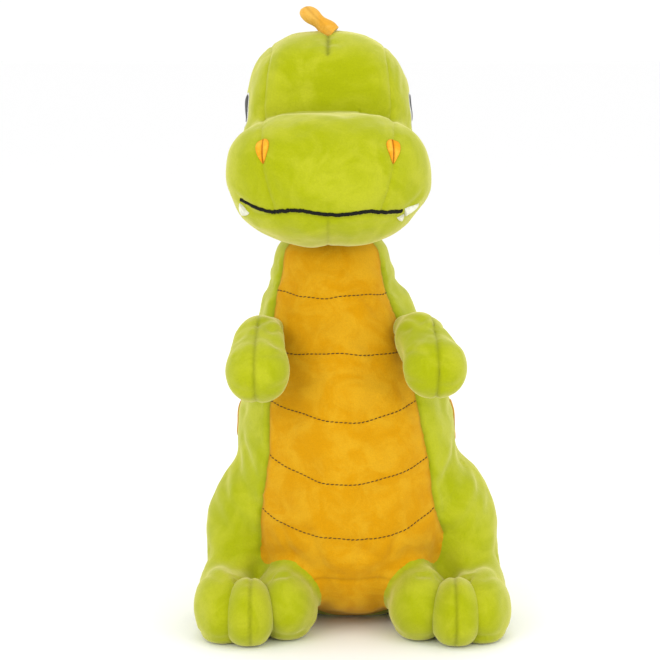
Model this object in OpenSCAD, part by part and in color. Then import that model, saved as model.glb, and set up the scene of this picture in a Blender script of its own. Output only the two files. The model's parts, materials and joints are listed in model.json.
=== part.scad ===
// Stuffed dinosaur: a standing plush animal, sewn from fabric panels over stuffing.
// It faces -Y and stands on Z = 0. Its own left side is +X.
// Every soft form is a smooth surface point(angle, station); a fabric panel is a patch
// of that surface with the cloth's thickness, and the stuffing fills what is inside it.

/* [Fabric] */
// Thickness of the short-pile fabric
fabric_t = 1.8; // [1.2:0.1:2.4]
// Air left between the fabric and the stuffing
stuffing_gap = 0.3; // [0.2:0.1:0.6]
// Air left between two sewn-on pieces
piece_gap = 0.5; // [0.3:0.1:0.8]
// Half of the gap along a seam, as an angle round the form
seam_angle = 0.25; // [0.15:0.05:0.5]

/* [Torso] */
// Half width of the belly at its widest
belly_half_w = 87; // [76:1:98]
// Depth of the belly in front of the spine
belly_front = 77; // [66:1:88]
// Depth of the back behind the spine
belly_back = 80; // [68:1:90]
// Height of the ball at the top of the neck, at its centre
neck_z = 256; // [240:1:266]
// Radius of the ball at the top of the neck
neck_r = 48.5; // [42:0.5:50]
// How far the neck leans to the toy's right
neck_lean = 15; // [6:1:20]
// How far the flat base reaches up the belly
base_h = 2; // [1.5:0.1:3]

/* [Head] */
// Half width of the muzzle
muzzle_half_w = 74; // [66:1:82]
// Reach of the muzzle in front of the spine
muzzle_reach = 108; // [100:1:116]
// Height of the mouth line above the floor
mouth_z = 318; // [314:1:322]
// Height of the crown above the mouth line
crown_h = 121; // [110:1:132]
// Gap between the ball of the neck and the hollow under the head
neck_gap = 1.6; // [1.4:0.1:2.4]

/* [Arms] */
// Thickness of an arm's paw, as a radius
paw_r = 22.5; // [19:0.5:24]
// Distance from the shoulder to the end of the paw
arm_l = 74; // [66:1:80]
// Radius of the shoulder end
shoulder_r = 13; // [11:0.5:14]
// How far round from the middle of the chest a shoulder is, in degrees
shoulder_turn = 49.5; // [47:0.5:56]
// Air between the end of a shoulder and the chest
shoulder_gap = 0.9; // [0.7:0.1:2]

/* [Legs] */
// How far the thigh stands out from the belly
thigh_h = 22; // [16:1:28]
// Height of the ankle seam
ankle_z = 46; // [40:1:52]
// Half width of a foot
foot_half_w = 46; // [40:1:50]
// Sideways place of a foot's middle
foot_x = 70.5; // [66:0.5:76]
// Reach of the middle toe in front of the spine
toe_reach = 106; // [98:1:107]
// Thickness of the sole
sole_t = 2; // [1.5:0.1:3]

/* [Tail] */
// Reach of the tail behind the spine
tail_reach = 178; // [165:1:190]
// Radius of the tail where it bends
tail_r = 31; // [27:1:34]
// Gap at the tail's bend
tail_gap = 1.6; // [1.4:0.1:2.4]

/* [Trim] */
// Height of a back spike
spike_h = 27; // [20:1:32]
// Length of a back spike along the back
spike_l = 32; // [26:1:38]
// Thickness of a back spike
spike_t = 9; // [7:0.5:11]
// Thickness of the embroidery
thread_t = 0.8; // [0.5:0.1:1.2]
// Width of the mouth line
mouth_w = 3; // [2:0.25:4]
// Width of one belly stitch line
stitch_w = 1.4; // [1:0.1:2]
// Thickness of the felt used for teeth, nostrils and eyes
felt_t = 1.2; // [0.8:0.1:1.6]

/* [Hidden] */

left = 1;
right = -1;
axis_y = -(tail_reach - muzzle_reach) / 2; // spine's place, so the whole is centred on Y
green = "yellowgreen";
orange = "orange";
dark = [0.15, 0.12, 0.05];

// ---- numbers along a form ----
function steps(a, b, n) = [for (i = [0:n]) a + (b - a) * i / n];
function segment(keys, s, i = 0) =
    i >= len(keys) - 2 || s < keys[i + 1][0] ? i : segment(keys, s, i + 1);
function slope(keys, i) =
    let (a = max(i - 1, 0), b = min(i + 1, len(keys) - 1))
    (keys[b] - keys[a]) / (keys[b][0] - keys[a][0]);
// Smooth curve through the rows of keys; the first column is the station
function along(keys, s) =
    let (
        i = segment(keys, s),
        h = keys[i + 1][0] - keys[i][0],
        t = (s - keys[i][0]) / h,
        t2 = t * t,
        t3 = t2 * t
    )
    (2 * t3 - 3 * t2 + 1) * keys[i] + (t3 - 2 * t2 + t) * h * slope(keys, i)
    + (3 * t2 - 2 * t3) * keys[i + 1] + (t3 - t2) * h * slope(keys, i + 1);
function power(x, n) = sign(x) * pow(abs(x), 2 / n);
function unit(v) = v / norm(v);

// ---- surfaces: each takes an angle and a station, and gives a point ----
// Torso rows: height, sideways place, half width, front depth, back depth, belly half angle
torso_keys = [
    [base_h + 0.3, 0, belly_half_w * 0.53, belly_front * 0.5, belly_back * 0.62, 40],
    [20, 0, belly_half_w * 0.71, belly_front * 0.76, belly_back * 0.84, 50],
    [46, -1, belly_half_w * 0.88, belly_front * 0.92, belly_back * 0.96, 56],
    [80, -2, belly_half_w, belly_front, belly_back, 50],
    [120, -3, belly_half_w, belly_front, belly_back * 0.98, 46],
    [160, -4.5, belly_half_w * 0.94, belly_front * 0.96, belly_back * 0.92, 47],
    [200, -8, belly_half_w * 0.8, belly_front * 0.84, belly_back * 0.79, 52],
    [230, -neck_lean + 3.5, (belly_half_w + neck_r) * 0.43, belly_front * 0.7,
        belly_back * 0.66, 60],
    [neck_z - 8, -neck_lean, neck_r * 1.05, neck_r * 1.01, neck_r * 1.02, 65],
    [neck_z, -neck_lean, neck_r, neck_r, neck_r, 67],
    [neck_z + 28, -neck_lean, neck_r * 0.82, neck_r * 0.82, neck_r * 0.82, 67]
];
neck_centre = [-neck_lean, axis_y, neck_z];
panel_top = neck_z + 26;
function torso_form(a, z) =
    let (k = along(torso_keys, z))
    z > neck_z
        ? let (r = sqrt(max(neck_r * neck_r - (z - neck_z) * (z - neck_z), 1)))
          [k[1] + r * cos(a), axis_y + r * sin(a), z]
        : [k[1] + k[2] * cos(a), axis_y + (sin(a) > 0 ? k[4] : k[3]) * sin(a), z];

// Head rows: depth, mouth height, half width, height above it, depth below it,
// squareness above, half angle of the strip over the top
head_keys = [
    [-muzzle_reach, mouth_z - 1, 5, 4, 3, 2.2, 88],
    [-muzzle_reach + 2.5, mouth_z - 1, 29, 24, 14, 2.3, 87],
    [-muzzle_reach + 9, mouth_z, 51, 41, 24, 2.3, 70],
    [-88, mouth_z, muzzle_half_w * 0.86, 50, 29, 2.35, 48],
    [-68, mouth_z + 1, muzzle_half_w, 60, 32, 2.4, 38],
    [-50, mouth_z + 1, muzzle_half_w * 0.99, 66, 32, 2.5, 36],
    [-40, mouth_z + 2, muzzle_half_w * 0.95, 82, 31, 2.8, 36],
    [-26, mouth_z + 2, muzzle_half_w * 0.91, crown_h * 0.9, 29, 3, 36],
    [-8, mouth_z + 2, muzzle_half_w * 0.89, crown_h, 27, 3, 36],
    [12, mouth_z + 2, muzzle_half_w * 0.88, crown_h * 0.98, 26, 3, 36],
    [34, mouth_z + 4, muzzle_half_w * 0.8, crown_h * 0.86, 26, 2.7, 36],
    [50, mouth_z + 10, muzzle_half_w * 0.62, crown_h * 0.62, 28, 2.4, 36],
    [60, mouth_z + 20, muzzle_half_w * 0.3, crown_h * 0.24, 22, 2.2, 36],
    [63, mouth_z + 24, 5, 5, 5, 2.1, 36]
];
head_lean = neck_lean + 3;
bridge_y = -45; // where the muzzle's top meets the forehead
head_front = -muzzle_reach;
// Keeps a point outside the ball of the neck
function off_ball(p, r) =
    let (v = p - neck_centre)
    norm(v) < r ? neck_centre + v * r / norm(v) : p;
function head_form(a, y) =
    let (k = along(head_keys, y))
    [
        -head_lean + k[2] * power(cos(a), sin(a) > 0 ? k[5] : 2.2),
        axis_y + y,
        k[1] + (sin(a) > 0 ? k[3] * power(sin(a), k[5]) : k[4] * power(sin(a), 2.2))
    ];

// Arm rows: distance from the shoulder, radius
arm_keys = [
    [-shoulder_r, 1.5],
    [-shoulder_r * 0.9, shoulder_r * 0.44],
    [-shoulder_r * 0.55, shoulder_r * 0.83],
    [0, shoulder_r],
    [arm_l * 0.23, paw_r * 0.82],
    [arm_l * 0.46, paw_r * 0.96],
    [arm_l * 0.64, paw_r],
    [arm_l * 0.8, paw_r * 0.87],
    [arm_l * 0.92, paw_r * 0.58],
    [arm_l * 0.985, paw_r * 0.24],
    [arm_l, 1.5]
];
shoulder_level = 218.7; // height of the chest under a shoulder's end
// Forwards and down; the toy's left arm points out a little more
function arm_aim(side) = unit([side > 0 ? 10 : 1, -39, -27]);
function shoulder(side) = lifted(
    torso, 270 + side * shoulder_turn, shoulder_level, shoulder_r + shoulder_gap, 1);
function arm_form(side, a, s) =
    let (
        d = arm_aim(side),
        out = unit(cross([0, -d[2], d[1]], d)) * side,
        up = cross(d, out) * side,
        r = along(arm_keys, s)[1]
    )
    shoulder(side) + d * s + out * r * cos(a) + up * r * sin(a) * 1.04;

// Foot rows: height, half width, reach in front, reach behind
foot_keys = [
    [sole_t + 0.3, foot_half_w * 0.86, 44, 62],
    [12, foot_half_w * 0.98, 50, 70],
    [24, foot_half_w, 52, 73],
    [ankle_z - 8, foot_half_w * 0.95, 48, 73],
    [ankle_z, foot_half_w * 0.87, 42, 68]
];
foot_y = -40;
toe_plane = -74;
foot_turn = 0.15; // the heel stands further out than the toes
function torso_x(y, z) =
    let (
        k = along(torso_keys, z),
        t = y / (y > 0 ? k[4] : k[3])
    )
    k[2] * sqrt(max(1 - t * t, 0)) + abs(k[1]);
function foot_form(side, a, z, clear) =
    let (
        k = along(foot_keys, z),
        y = max(foot_y + (sin(a) > 0 ? k[3] : k[2]) * sin(a), toe_plane + clear),
        x = foot_x + k[1] * cos(a) + foot_turn * (y - foot_y)
    )
    [side * max(x, torso_x(y, z) + piece_gap + 1 + clear), axis_y + y, z];

// Tail rows: depth, height of the middle, half width, half height
tail_bend = 98;
tail_keys = [
    [60, 48, tail_r * 1.5, 46],
    [78, 44, tail_r * 1.28, 41],
    [tail_bend, 36, tail_r, tail_r],
    [120, 30, tail_r * 0.86, tail_r * 0.84],
    [tail_reach - 36, 22, tail_r * 0.62, tail_r * 0.58],
    [tail_reach - 16, 16, tail_r * 0.42, tail_r * 0.38],
    [tail_reach - 5, 13, tail_r * 0.24, tail_r * 0.22],
    [tail_reach, 12, 2, 2]
];
tail_centre = [0, axis_y + tail_bend, along(tail_keys, tail_bend)[1]];
function tail_form(a, y) =
    let (k = along(tail_keys, y))
    [k[2] * cos(a), axis_y + y, k[1] + k[3] * sin(a)];
// The fixed root of the tail ends in a ball about the bend
function tail_root_form(a, y) =
    y < tail_bend
        ? tail_form(a, y)
        : let (r = sqrt(max(tail_r * tail_r - pow(y - tail_bend, 2), 1)))
          tail_centre + [r * cos(a), y - tail_bend, r * sin(a)];
function off_tail_ball(p, r) =
    let (v = p - tail_centre)
    norm(v) < r ? tail_centre + v * r / norm(v) : p;
// Lays a point on the torso's back, straight behind or in front of where it is
function on_back(p, clear) =
    let (
        k = along(torso_keys, p[2]),
        t = (p[0] - k[1]) / k[2]
    )
    [p[0], axis_y + k[4] * sqrt(max(1 - t * t, 0)) + clear, p[2]];

// ---- offset of a surface along its normal ----
function normal(f, a, s, hand) =
    let (
        da = f(a + 0.6, s) - f(a - 0.6, s),
        ds = f(a, s + 0.2) - f(a, s - 0.2)
    )
    unit(cross(da, ds)) * hand;
function lifted(f, a, s, off, hand) = f(a, s) + off * normal(f, a, s, hand);

// ---- solids from grids of points ----
function flat(grid) = [for (row = grid) for (p = row) p];
function turned(faces, hand) = hand > 0 ? faces : [for (f = faces) [f[2], f[1], f[0]]];
function grid_faces(rows, cols, wrap) = [
    for (r = [0:rows - 2]) for (c = [0:(wrap ? cols - 1 : cols - 2)])
        let (i = r * cols + c, j = r * cols + (c + 1) % cols)
        each [[i, j + cols, j], [i, i + cols, j + cols]]
];
function strip(ids, n) = [
    for (k = [0:len(ids) - 2])
        each [[ids[k], ids[k + 1], ids[k + 1] + n], [ids[k], ids[k + 1] + n, ids[k] + n]]
];
function shifted(faces, n) = [for (f = faces) [f[2] + n, f[1] + n, f[0] + n]];

// A panel with four edges: outer and inner are grids of the same size
module panel_solid(outer, inner, hand) {
    rows = len(outer);
    cols = len(outer[0]);
    n = rows * cols;
    skin = grid_faces(rows, cols, false);
    edge = concat(
        [for (c = [0:cols - 1]) c],
        [for (r = [1:rows - 1]) r * cols + cols - 1],
        [for (c = [cols - 2:-1:0]) (rows - 1) * cols + c],
        [for (r = [rows - 2:-1:0]) r * cols]
    );
    polyhedron(
        concat(flat(outer), flat(inner)),
        turned(concat(skin, shifted(skin, n), strip(edge, n)), hand)
    );
}

// A panel that closes round on itself and has two open ends
module tube_solid(outer, inner, hand) {
    rows = len(outer);
    cols = len(outer[0]);
    n = rows * cols;
    skin = grid_faces(rows, cols, true);
    first = [for (c = [0:cols]) c % cols];
    last = [for (c = [cols:-1:0]) (rows - 1) * cols + c % cols];
    polyhedron(
        concat(flat(outer), flat(inner)),
        turned(concat(skin, shifted(skin, n), strip(first, n), strip(last, n)), hand)
    );
}

// A round patch: its first row closes on a middle point, its last row is the rim
module dome_solid(outer, outer_mid, inner, inner_mid, hand) {
    rows = len(outer);
    cols = len(outer[0]);
    n = rows * cols;
    skin = grid_faces(rows, cols, true);
    rim = [for (c = [cols:-1:0]) (rows - 1) * cols + c % cols];
    mids = [
        for (c = [0:cols - 1])
            let (d = (c + 1) % cols)
            each [[c, d, 2 * n], [d + n, c + n, 2 * n + 1]]
    ];
    polyhedron(
        concat(flat(outer), flat(inner), [outer_mid, inner_mid]),
        turned(concat(skin, shifted(skin, n), strip(rim, n), mids), hand)
    );
}

// A filled form: rows of rings closed at both ends
module filled_solid(grid, hand) {
    rows = len(grid);
    cols = len(grid[0]);
    n = rows * cols;
    ends = [
        for (c = [0:cols - 1])
            let (d = (c + 1) % cols)
            each [[c, d, n], [n - cols + d, n - cols + c, n + 1]]
    ];
    polyhedron(
        concat(flat(grid), [middle(grid[0]), middle(grid[rows - 1])]),
        turned(concat(grid_faces(rows, cols, true), ends), hand)
    );
}
function middle(ring, i = 0) =
    i == len(ring) ? [0, 0, 0] : ring[i] / len(ring) + middle(ring, i + 1);

ring = [for (c = [0:23]) c * 15];
small_ring = [for (c = [0:15]) c * 22.5];

// ---- torso ----
torso = function (a, z) torso_form(a, z);
belly_edge = function (z) along(torso_keys, z)[5];
torso_rows = concat(steps(base_h + 0.3, 20, 2), steps(36, neck_z, 9),
    steps(neck_z + 9, panel_top, 2));
// Angles of all the torso's columns at a height, so that panels and stuffing match
function torso_columns(z) =
    let (b = belly_edge(z))
    concat(
        steps(270 - b, 270 + b, 8),
        [for (i = [1:7]) 270 + b + (180 - b) * i / 7],
        [for (i = [1:6]) 90 + (180 - b) * i / 7]
    );
module torso_panel(from, to, n) {
    outer = [for (z = torso_rows) [for (i = [0:n])
        lifted(torso, from(z) + (to(z) - from(z)) * i / n, z, 0, 1)]];
    inner = [for (z = torso_rows) [for (i = [0:n])
        lifted(torso, from(z) + (to(z) - from(z)) * i / n, z, -fabric_t, 1)]];
    panel_solid(outer, level(inner, base_h + 0.3), 1);
}
// Keeps the ends of an inset grid level with the floor
function level(grid, z) = [for (row = grid) [for (p = row) [p[0], p[1], max(p[2], z)]]];
module belly_panel() {
    color(orange)
    torso_panel(
        function (z) 270 - belly_edge(z) + seam_angle,
        function (z) 270 + belly_edge(z) - seam_angle, 8
    );
}
module left_side_panel() {
    color(green)
    torso_panel(
        function (z) -90 + belly_edge(z) + seam_angle,
        function (z) 90 - seam_angle, 7
    );
}
module right_side_panel() {
    color(green)
    torso_panel(
        function (z) 90 + seam_angle,
        function (z) 270 - belly_edge(z) - seam_angle, 7
    );
}
module torso_stuffing() {
    inset = fabric_t + stuffing_gap;
    body = [for (z = torso_rows) [for (a = torso_columns(z)) lifted(torso, a, z, -inset, 1)]];
    r = neck_r - inset;
    ball = [
        for (lat = [44:10:84])
            [for (a = torso_columns(panel_top)) neck_centre
                + r * [cos(lat) * cos(a), cos(lat) * sin(a), sin(lat)]]
    ];
    color("ivory") filled_solid(level(concat(body, ball), base_h + 0.6), 1);
}
module base_panel() {
    k = torso_keys[0];
    color(orange)
    linear_extrude(base_h)
    polygon([for (a = ring) [k[2] * cos(a), axis_y + (sin(a) > 0 ? k[4] : k[3]) * sin(a)]]);
}

thread_off = 1.2; // thread stands this far off the curved cloth
// Belly stitch lines: height at the middle, rise to the edges, how far they stop short of the seam
stitch_rows = [[250, 3, 6], [209, 3, 15], [161, 14, 6], [116, 17, 6], [74, 20, 6]];
module belly_stitching() {
    color(dark)
    for (row = stitch_rows) {
        half = belly_edge(row[0]) - row[2];
        line = [
            for (i = [0:12])
                let (u = i / 6 - 1)
                [270 + half * u, row[0] + row[1] * u * u]
        ];
        panel_solid(
            [for (e = [-1, 1]) [for (p = line)
                lifted(torso, p[0], p[1] + e * stitch_w / 2, thread_off + thread_t, 1)]],
            [for (e = [-1, 1]) [for (p = line)
                lifted(torso, p[0], p[1] + e * stitch_w / 2, thread_off, 1)]],
            1
        );
    }
}

// A round appliqué on a form: centre angle and station, radii, height over the surface
module applique(f, a0, s0, ra, rs, low, high, hand) {
    ringed = [for (c = [0:15]) c * 22.5];
    rows = [0.4, 0.75, 1];
    dome_solid(
        [for (k = rows) [for (c = ringed)
            lifted(f, a0 + ra * k * cos(c), s0 + rs * k * sin(c), high, hand)]],
        lifted(f, a0, s0, high, hand),
        [for (k = rows) [for (c = ringed)
            lifted(f, a0 + ra * k * cos(c), s0 + rs * k * sin(c), low, hand)]],
        lifted(f, a0, s0, low, hand),
        -hand
    );
}
spot_z = 152;
module left_flank_spot() {
    color(orange) applique(torso, 8, spot_z, 11, 17, 0.3, 0.3 + fabric_t, 1);
}
module right_flank_spot() {
    color(orange) applique(torso, 172, spot_z, 11, 17, 0.3, 0.3 + fabric_t, 1);
}

// ---- legs ----
// The thigh is a domed pad on the torso's side: middle angle, height, reach round and up
thigh_z = 74;
thigh_reach = 39;
thigh_rise = 50;
thigh_rows = [0.2, 0.42, 0.62, 0.78, 0.9, 1];
function thigh_lift(k) = fabric_t + 1 + (thigh_h - fabric_t) * pow(max(1 - k * k, 0), 0.55);
function thigh_point(side, k, c, off, floor_z) =
    let (
        mid = side > 0 ? -2 : 182,
        z = max(thigh_z + thigh_rise * k * sin(c), floor_z),
        a = mid + thigh_reach * k * cos(c)
    )
    torso(a, z) + off * unit(level_part(normal(torso, a, z, 1)));
function level_part(v) = [v[0], v[1], 0];
module thigh_shell(side, over, under, floor_over, floor_under) {
    outer = [for (k = thigh_rows) [for (c = ring)
        thigh_point(side, k, c, over(k), floor_over)]];
    inner = [for (k = thigh_rows) [for (c = ring)
        thigh_point(side, k, c, under(k), floor_under)]];
    dome_solid(
        outer, thigh_point(side, 0, 0, over(0), floor_over),
        inner, thigh_point(side, 0, 0, under(0), floor_under), -1
    );
}
module thigh_panel(side) {
    low = ankle_z + piece_gap;
    color(green)
    thigh_shell(
        side,
        function (k) piece_gap + thigh_lift(k),
        function (k) piece_gap + thigh_lift(k) - fabric_t,
        low, low + fabric_t
    );
}
module thigh_stuffing(side) {
    low = ankle_z + piece_gap + fabric_t + stuffing_gap;
    color("ivory")
    thigh_shell(
        side,
        function (k) piece_gap + thigh_lift(k) - fabric_t - stuffing_gap,
        function (k) piece_gap,
        low, low
    );
}
foot_rows = [sole_t + 0.3, 12, 24, ankle_z - 8, ankle_z];
module foot_panel(side) {
    f = function (a, z) foot_form(side, a, z, 0);
    g = function (a, z) foot_form(side, a, z, fabric_t);
    color(green)
    tube_solid(
        [for (z = foot_rows) [for (a = ring) f(a, z)]],
        [for (z = foot_rows) [for (a = ring) inward(g(a, z), side, z)]],
        side
    );
}
// Moves a point of the foot's outline towards the foot's middle by the cloth's thickness
function inward(p, side, z, by = fabric_t) =
    let (
        mid = [side * foot_x, axis_y + foot_y - 2],
        v = [p[0], p[1]] - mid,
        q = mid + v * (1 - by / norm(v))
    )
    [q[0], q[1], z];
module foot_stuffing(side) {
    inset = fabric_t + stuffing_gap;
    rows = concat([sole_t + 0.6], [12, 24, ankle_z - 8], [ankle_z - 0.3]);
    color("ivory")
    filled_solid(
        [for (z = rows) [for (a = ring)
            inward(foot_form(side, a, z, inset), side, z, inset + 0.1)]],
        side
    );
}
module sole(side) {
    z = sole_t + 0.3;
    color(green)
    linear_extrude(sole_t)
    polygon([for (a = ring) let (p = foot_form(side, a, z, 0)) [p[0], p[1]]]);
}

// A toe: a rounded lobe in front of the foot, flat where it meets its neighbours
module toe(side, x, x_lo, x_hi, half_w, reach, top) {
    mid = [x, toe_plane - 3, top / 2 + 0.2];
    r = [half_w, reach + mid[1], top / 2];
    color(green)
    filled_solid(
        [for (lat = [-78:19.5:78]) [for (c = small_ring)
            let (
                p = mid + [
                    r[0] * cos(lat) * cos(c),
                    r[1] * cos(lat) * sin(c),
                    r[2] * sin(lat) / sin(78)
                ]
            )
            [
                side * min(max(p[0], x_lo), x_hi),
                axis_y + min(p[1], toe_plane - piece_gap),
                p[2]
            ]
        ]],
        side
    );
}
toe_split = 17.2; // half of the middle toe's width
module inner_toe(side) {
    toe(side, foot_x - 27, 0, middle_toe_x - toe_split - piece_gap, foot_half_w * 0.43,
        toe_reach - 6, 43);
}
module middle_toe(side) {
    toe(side, middle_toe_x, middle_toe_x - toe_split, middle_toe_x + toe_split,
        toe_split + 0.6, toe_reach, 50);
}
module outer_toe(side) {
    toe(side, foot_x + 30, middle_toe_x + toe_split + piece_gap, 200, foot_half_w * 0.36,
        toe_reach - 10, 39);
}
middle_toe_x = foot_x + 4.5;

// ---- tail ----
tail_root = function (a, y) tail_root_form(a, y);
tail = function (a, y) tail_form(a, y);
root_start = 78; // depth whose ring is laid on the back
root_rows = [root_start + 9, tail_bend, tail_bend + 7, tail_bend + 14, tail_bend + 20];
function root_grid(inset, angles, rows) = concat(
    [[for (a = angles) on_back(lifted(tail_root, a, root_start, -inset, -1), piece_gap + 1)]],
    [for (y = rows) [for (a = angles) lifted(tail_root, a, y, -inset, -1)]]
);
module tail_root_panel() {
    color(green)
    tube_solid(root_grid(0, ring, root_rows), root_grid(fabric_t, ring, root_rows), -1);
}
module tail_root_stuffing() {
    inset = fabric_t + stuffing_gap;
    r = tail_r - inset;
    rim = root_grid(inset, ring, [root_start + 9, tail_bend]);
    hub = [0, axis_y, tail_keys[1][1]];
    body = concat(
        [for (k = [0.25, 0.5, 0.75]) [for (p = rim[0]) on_back(hub + (p - hub) * k, piece_gap + 1)]],
        rim
    );
    ball = [
        for (lat = [14:14:84])
            [for (a = ring) tail_centre
                + r * [cos(lat) * cos(a), sin(lat), cos(lat) * sin(a)]]
    ];
    color("ivory") filled_solid(concat(body, ball), -1);
}
tail_rows = concat(steps(tail_bend + 10.5, tail_reach - 16, 5), [tail_reach - 5, tail_reach]);
module tail_panel(from, to) {
    hollow = tail_r + tail_gap;
    color(green)
    panel_solid(
        [for (y = tail_rows) [for (a = steps(from, to, 10))
            off_tail_ball(lifted(tail, a, y, 0, -1), hollow)]],
        [for (y = tail_rows) [for (a = steps(from, to, 10))
            off_tail_ball(lifted(tail, a, min(y, tail_reach - fabric_t), -fabric_t, -1), hollow)]],
        -1
    );
}
module left_tail_panel() { tail_panel(-90 + seam_angle, 90 - seam_angle); }
module right_tail_panel() { tail_panel(90 + seam_angle, 270 - seam_angle); }
module tail_stuffing() {
    inset = fabric_t + stuffing_gap;
    angles = [for (c = [0:19]) c * 18 - 90];
    color("ivory")
    filled_solid(
        concat(
            [for (k = [0.12, 0.36, 0.6, 0.82]) [for (a = angles) tail_mid(a, k)]],
            [for (i = [0:len(tail_rows) - 2]) let (y = tail_rows[i]) [for (a = angles)
                off_tail_ball(lifted(tail, a, y, -inset, -1), tail_r + tail_gap)]]
        ),
        -1
    );
}
// A point on the hollow's ball, at a share of the way from its pole to the first row
function tail_mid(a, k) =
    let (
        p = lifted(tail, a, tail_rows[0], -fabric_t - stuffing_gap, -1) - tail_centre,
        out = unit([p[0], 0, p[2]]),
        t = atan2(norm([p[0], p[2]]), p[1]) * k
    )
    tail_centre + (tail_r + tail_gap) * (sin(t) * out + [0, cos(t), 0]);

// ---- spikes ----
// A stuffed fin: root on a point, aimed along up, leaning by flop degrees to the side
module spike(at, aim, tall, long, thick) {
    rows = [0, 0.18, 0.42, 0.68, 0.88, 1];
    color(orange)
    translate(at)
    rotate(aim)
    filled_solid(
        [for (h = rows) [for (c = small_ring)
            [
                thick / 2 * cos(c) * pow(max(1 - h * h, 0.02), 0.5),
                long / 2 * sin(c) * pow(max(1 - pow(h, 1.7), 0.01), 0.6) + long * 0.12 * h * h,
                tall * h
            ]
        ]],
        1
    );
}
spine_gap = 1.2;
module back_spike(i) {
    z = [228, 188, 147, 108][i];
    p = lifted(torso, 90, z, spine_gap, 1);
    n = normal(torso, 90, z, 1);
    spike(p, [-atan2(n[1], n[2]), 0, 0], spike_h * [0.85, 1, 1, 0.95][i], spike_l, spike_t);
}
rear_crest_y = 45;
module rear_crest_spike() {
    n = normal(head, 90, rear_crest_y, -1);
    spike(lifted(head, 90, rear_crest_y, spine_gap, -1), [-atan2(n[1], n[2]), 0, 0], spike_h,
        spike_l, spike_t);
}
// The front crest spike hinges about Y at its root, clear of the crown, and leans over
crest_y = -10;
crest_root = head_form(90, crest_y) + [0, 0, spike_t * 0.4 + piece_gap];
module front_crest_spike() {
    spike(crest_root, [0, -48, 0], spike_h * 0.87, spike_l * 0.7, spike_t);
}
module tail_spike(i) {
    y = [131, 152][i];
    p = lifted(tail, 90, y, spine_gap, -1);
    n = normal(tail, 90, y, -1);
    spike(p, [-atan2(n[1], n[2]), 0, 0], spike_h * [0.75, 0.6][i], spike_l * [0.62, 0.5][i],
        spike_t * 0.9);
}

// ---- head ----
head = function (a, y) head_form(a, y);
strip_edge = function (y) along(head_keys, y)[6];
ball_clear = neck_r + neck_gap;
module head_panel(from, to, ys, n) {
    outer = [for (y = ys) [for (i = [0:n])
        off_ball(lifted(head, from(y) + (to(y) - from(y)) * i / n, y, 0, -1), ball_clear)]];
    inner = [for (y = ys) [for (i = [0:n])
        off_ball(lifted(head, from(y) + (to(y) - from(y)) * i / n, y, -fabric_t, -1),
            ball_clear + fabric_t)]];
    panel_solid(outer, inner, -1);
}
// Rows that all the head's panels and its stuffing share
front_rows = concat([head_front + 0.8, head_front + 2.5, head_front + 5],
    [-97, -88, -78, -68, -57]);
back_rows = concat(steps(bridge_y + 10, 38, 7), [50, 58, 61.5]);
head_rows = concat(front_rows, [bridge_y], back_rows);
side_rows = [for (i = [2:len(head_rows) - 1]) head_rows[i]];
function head_columns(y) =
    let (e = strip_edge(y))
    concat(
        steps(0, 90 - e, 6),
        [for (i = [1:8]) 90 - e + 2 * e * i / 8],
        [for (i = [1:6]) 90 + e + (90 - e) * i / 6],
        [for (i = [1:13]) 180 + 180 * i / 14]
    );
module forehead_gusset() {
    color(green)
    head_panel(
        function (y) 90 - strip_edge(y) + seam_angle,
        function (y) 90 + strip_edge(y) - seam_angle,
        concat([bridge_y + 0.2], back_rows), 8
    );
}
module muzzle_gusset() {
    color(green)
    head_panel(
        function (y) 90 - strip_edge(y) + seam_angle,
        function (y) 90 + strip_edge(y) - seam_angle,
        concat(front_rows, [bridge_y - 0.2]), 8
    );
}
module left_cheek_panel() {
    color(green)
    head_panel(
        function (y) seam_angle,
        function (y) 90 - strip_edge(y) - seam_angle, side_rows, 6
    );
}
module right_cheek_panel() {
    color(green)
    head_panel(
        function (y) 90 + strip_edge(y) + seam_angle,
        function (y) 180 - seam_angle, side_rows, 6
    );
}
module left_chin_panel() {
    color(green)
    head_panel(
        function (y) -90 + seam_angle,
        function (y) -seam_angle, head_rows, 7
    );
}
module right_chin_panel() {
    color(green)
    head_panel(
        function (y) 180 + seam_angle,
        function (y) 270 - seam_angle, head_rows, 7
    );
}
module head_stuffing() {
    inset = fabric_t + stuffing_gap;
    color("ivory")
    filled_solid(
        [for (i = [2:len(head_rows) - 2]) let (y = head_rows[i]) [for (a = head_columns(y))
            off_ball(lifted(head, a, y, -inset, -1), ball_clear + inset)]],
        -1
    );
}
// Mouth line: an embroidered band that wraps the muzzle at mouth height
module mouth_line() {
    back = -62;
    ys = [back, -68, -76, -84, -92, -98, -102, -104.5, -106.4];
    line = concat(
        [for (y = ys) [180, y]],
        [for (i = [len(ys) - 1:-1:0]) [0, ys[i]]]
    );
    color(dark)
    panel_solid(
        [for (e = [-1, 1]) [for (p = line) mouth_point(p, e, thread_off + thread_t)]],
        [for (e = [-1, 1]) [for (p = line) mouth_point(p, e, thread_off)]],
        -1
    );
}
function mouth_point(p, e, off) =
    let (
        base = head_form(p[0], p[1]),
        out = unit([base[0] + head_lean, (p[1] + 66) * 0.9, 0])
    )
    base + [out[0] * off, min(out[1], 0) * off, e * mouth_w / 2];
module nostril(side) {
    a = side > 0 ? 43 : 137;
    color(orange) applique(head, a, -92.5, 7, 5, 0.3, 0.3 + felt_t, -1);
}
eye_y = -20;
module eye(side) {
    a = side > 0 ? 25 : 155;
    color("white") applique(head, a, eye_y, 8, 9.5, 0.3, 0.3 + felt_t, -1);
}
module pupil(side) {
    a = side > 0 ? 26 : 154;
    color("black")
    applique(head, a, eye_y - 1.5, 5, 6, 0.6 + felt_t, 0.6 + felt_t + thread_t, -1);
}
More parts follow.
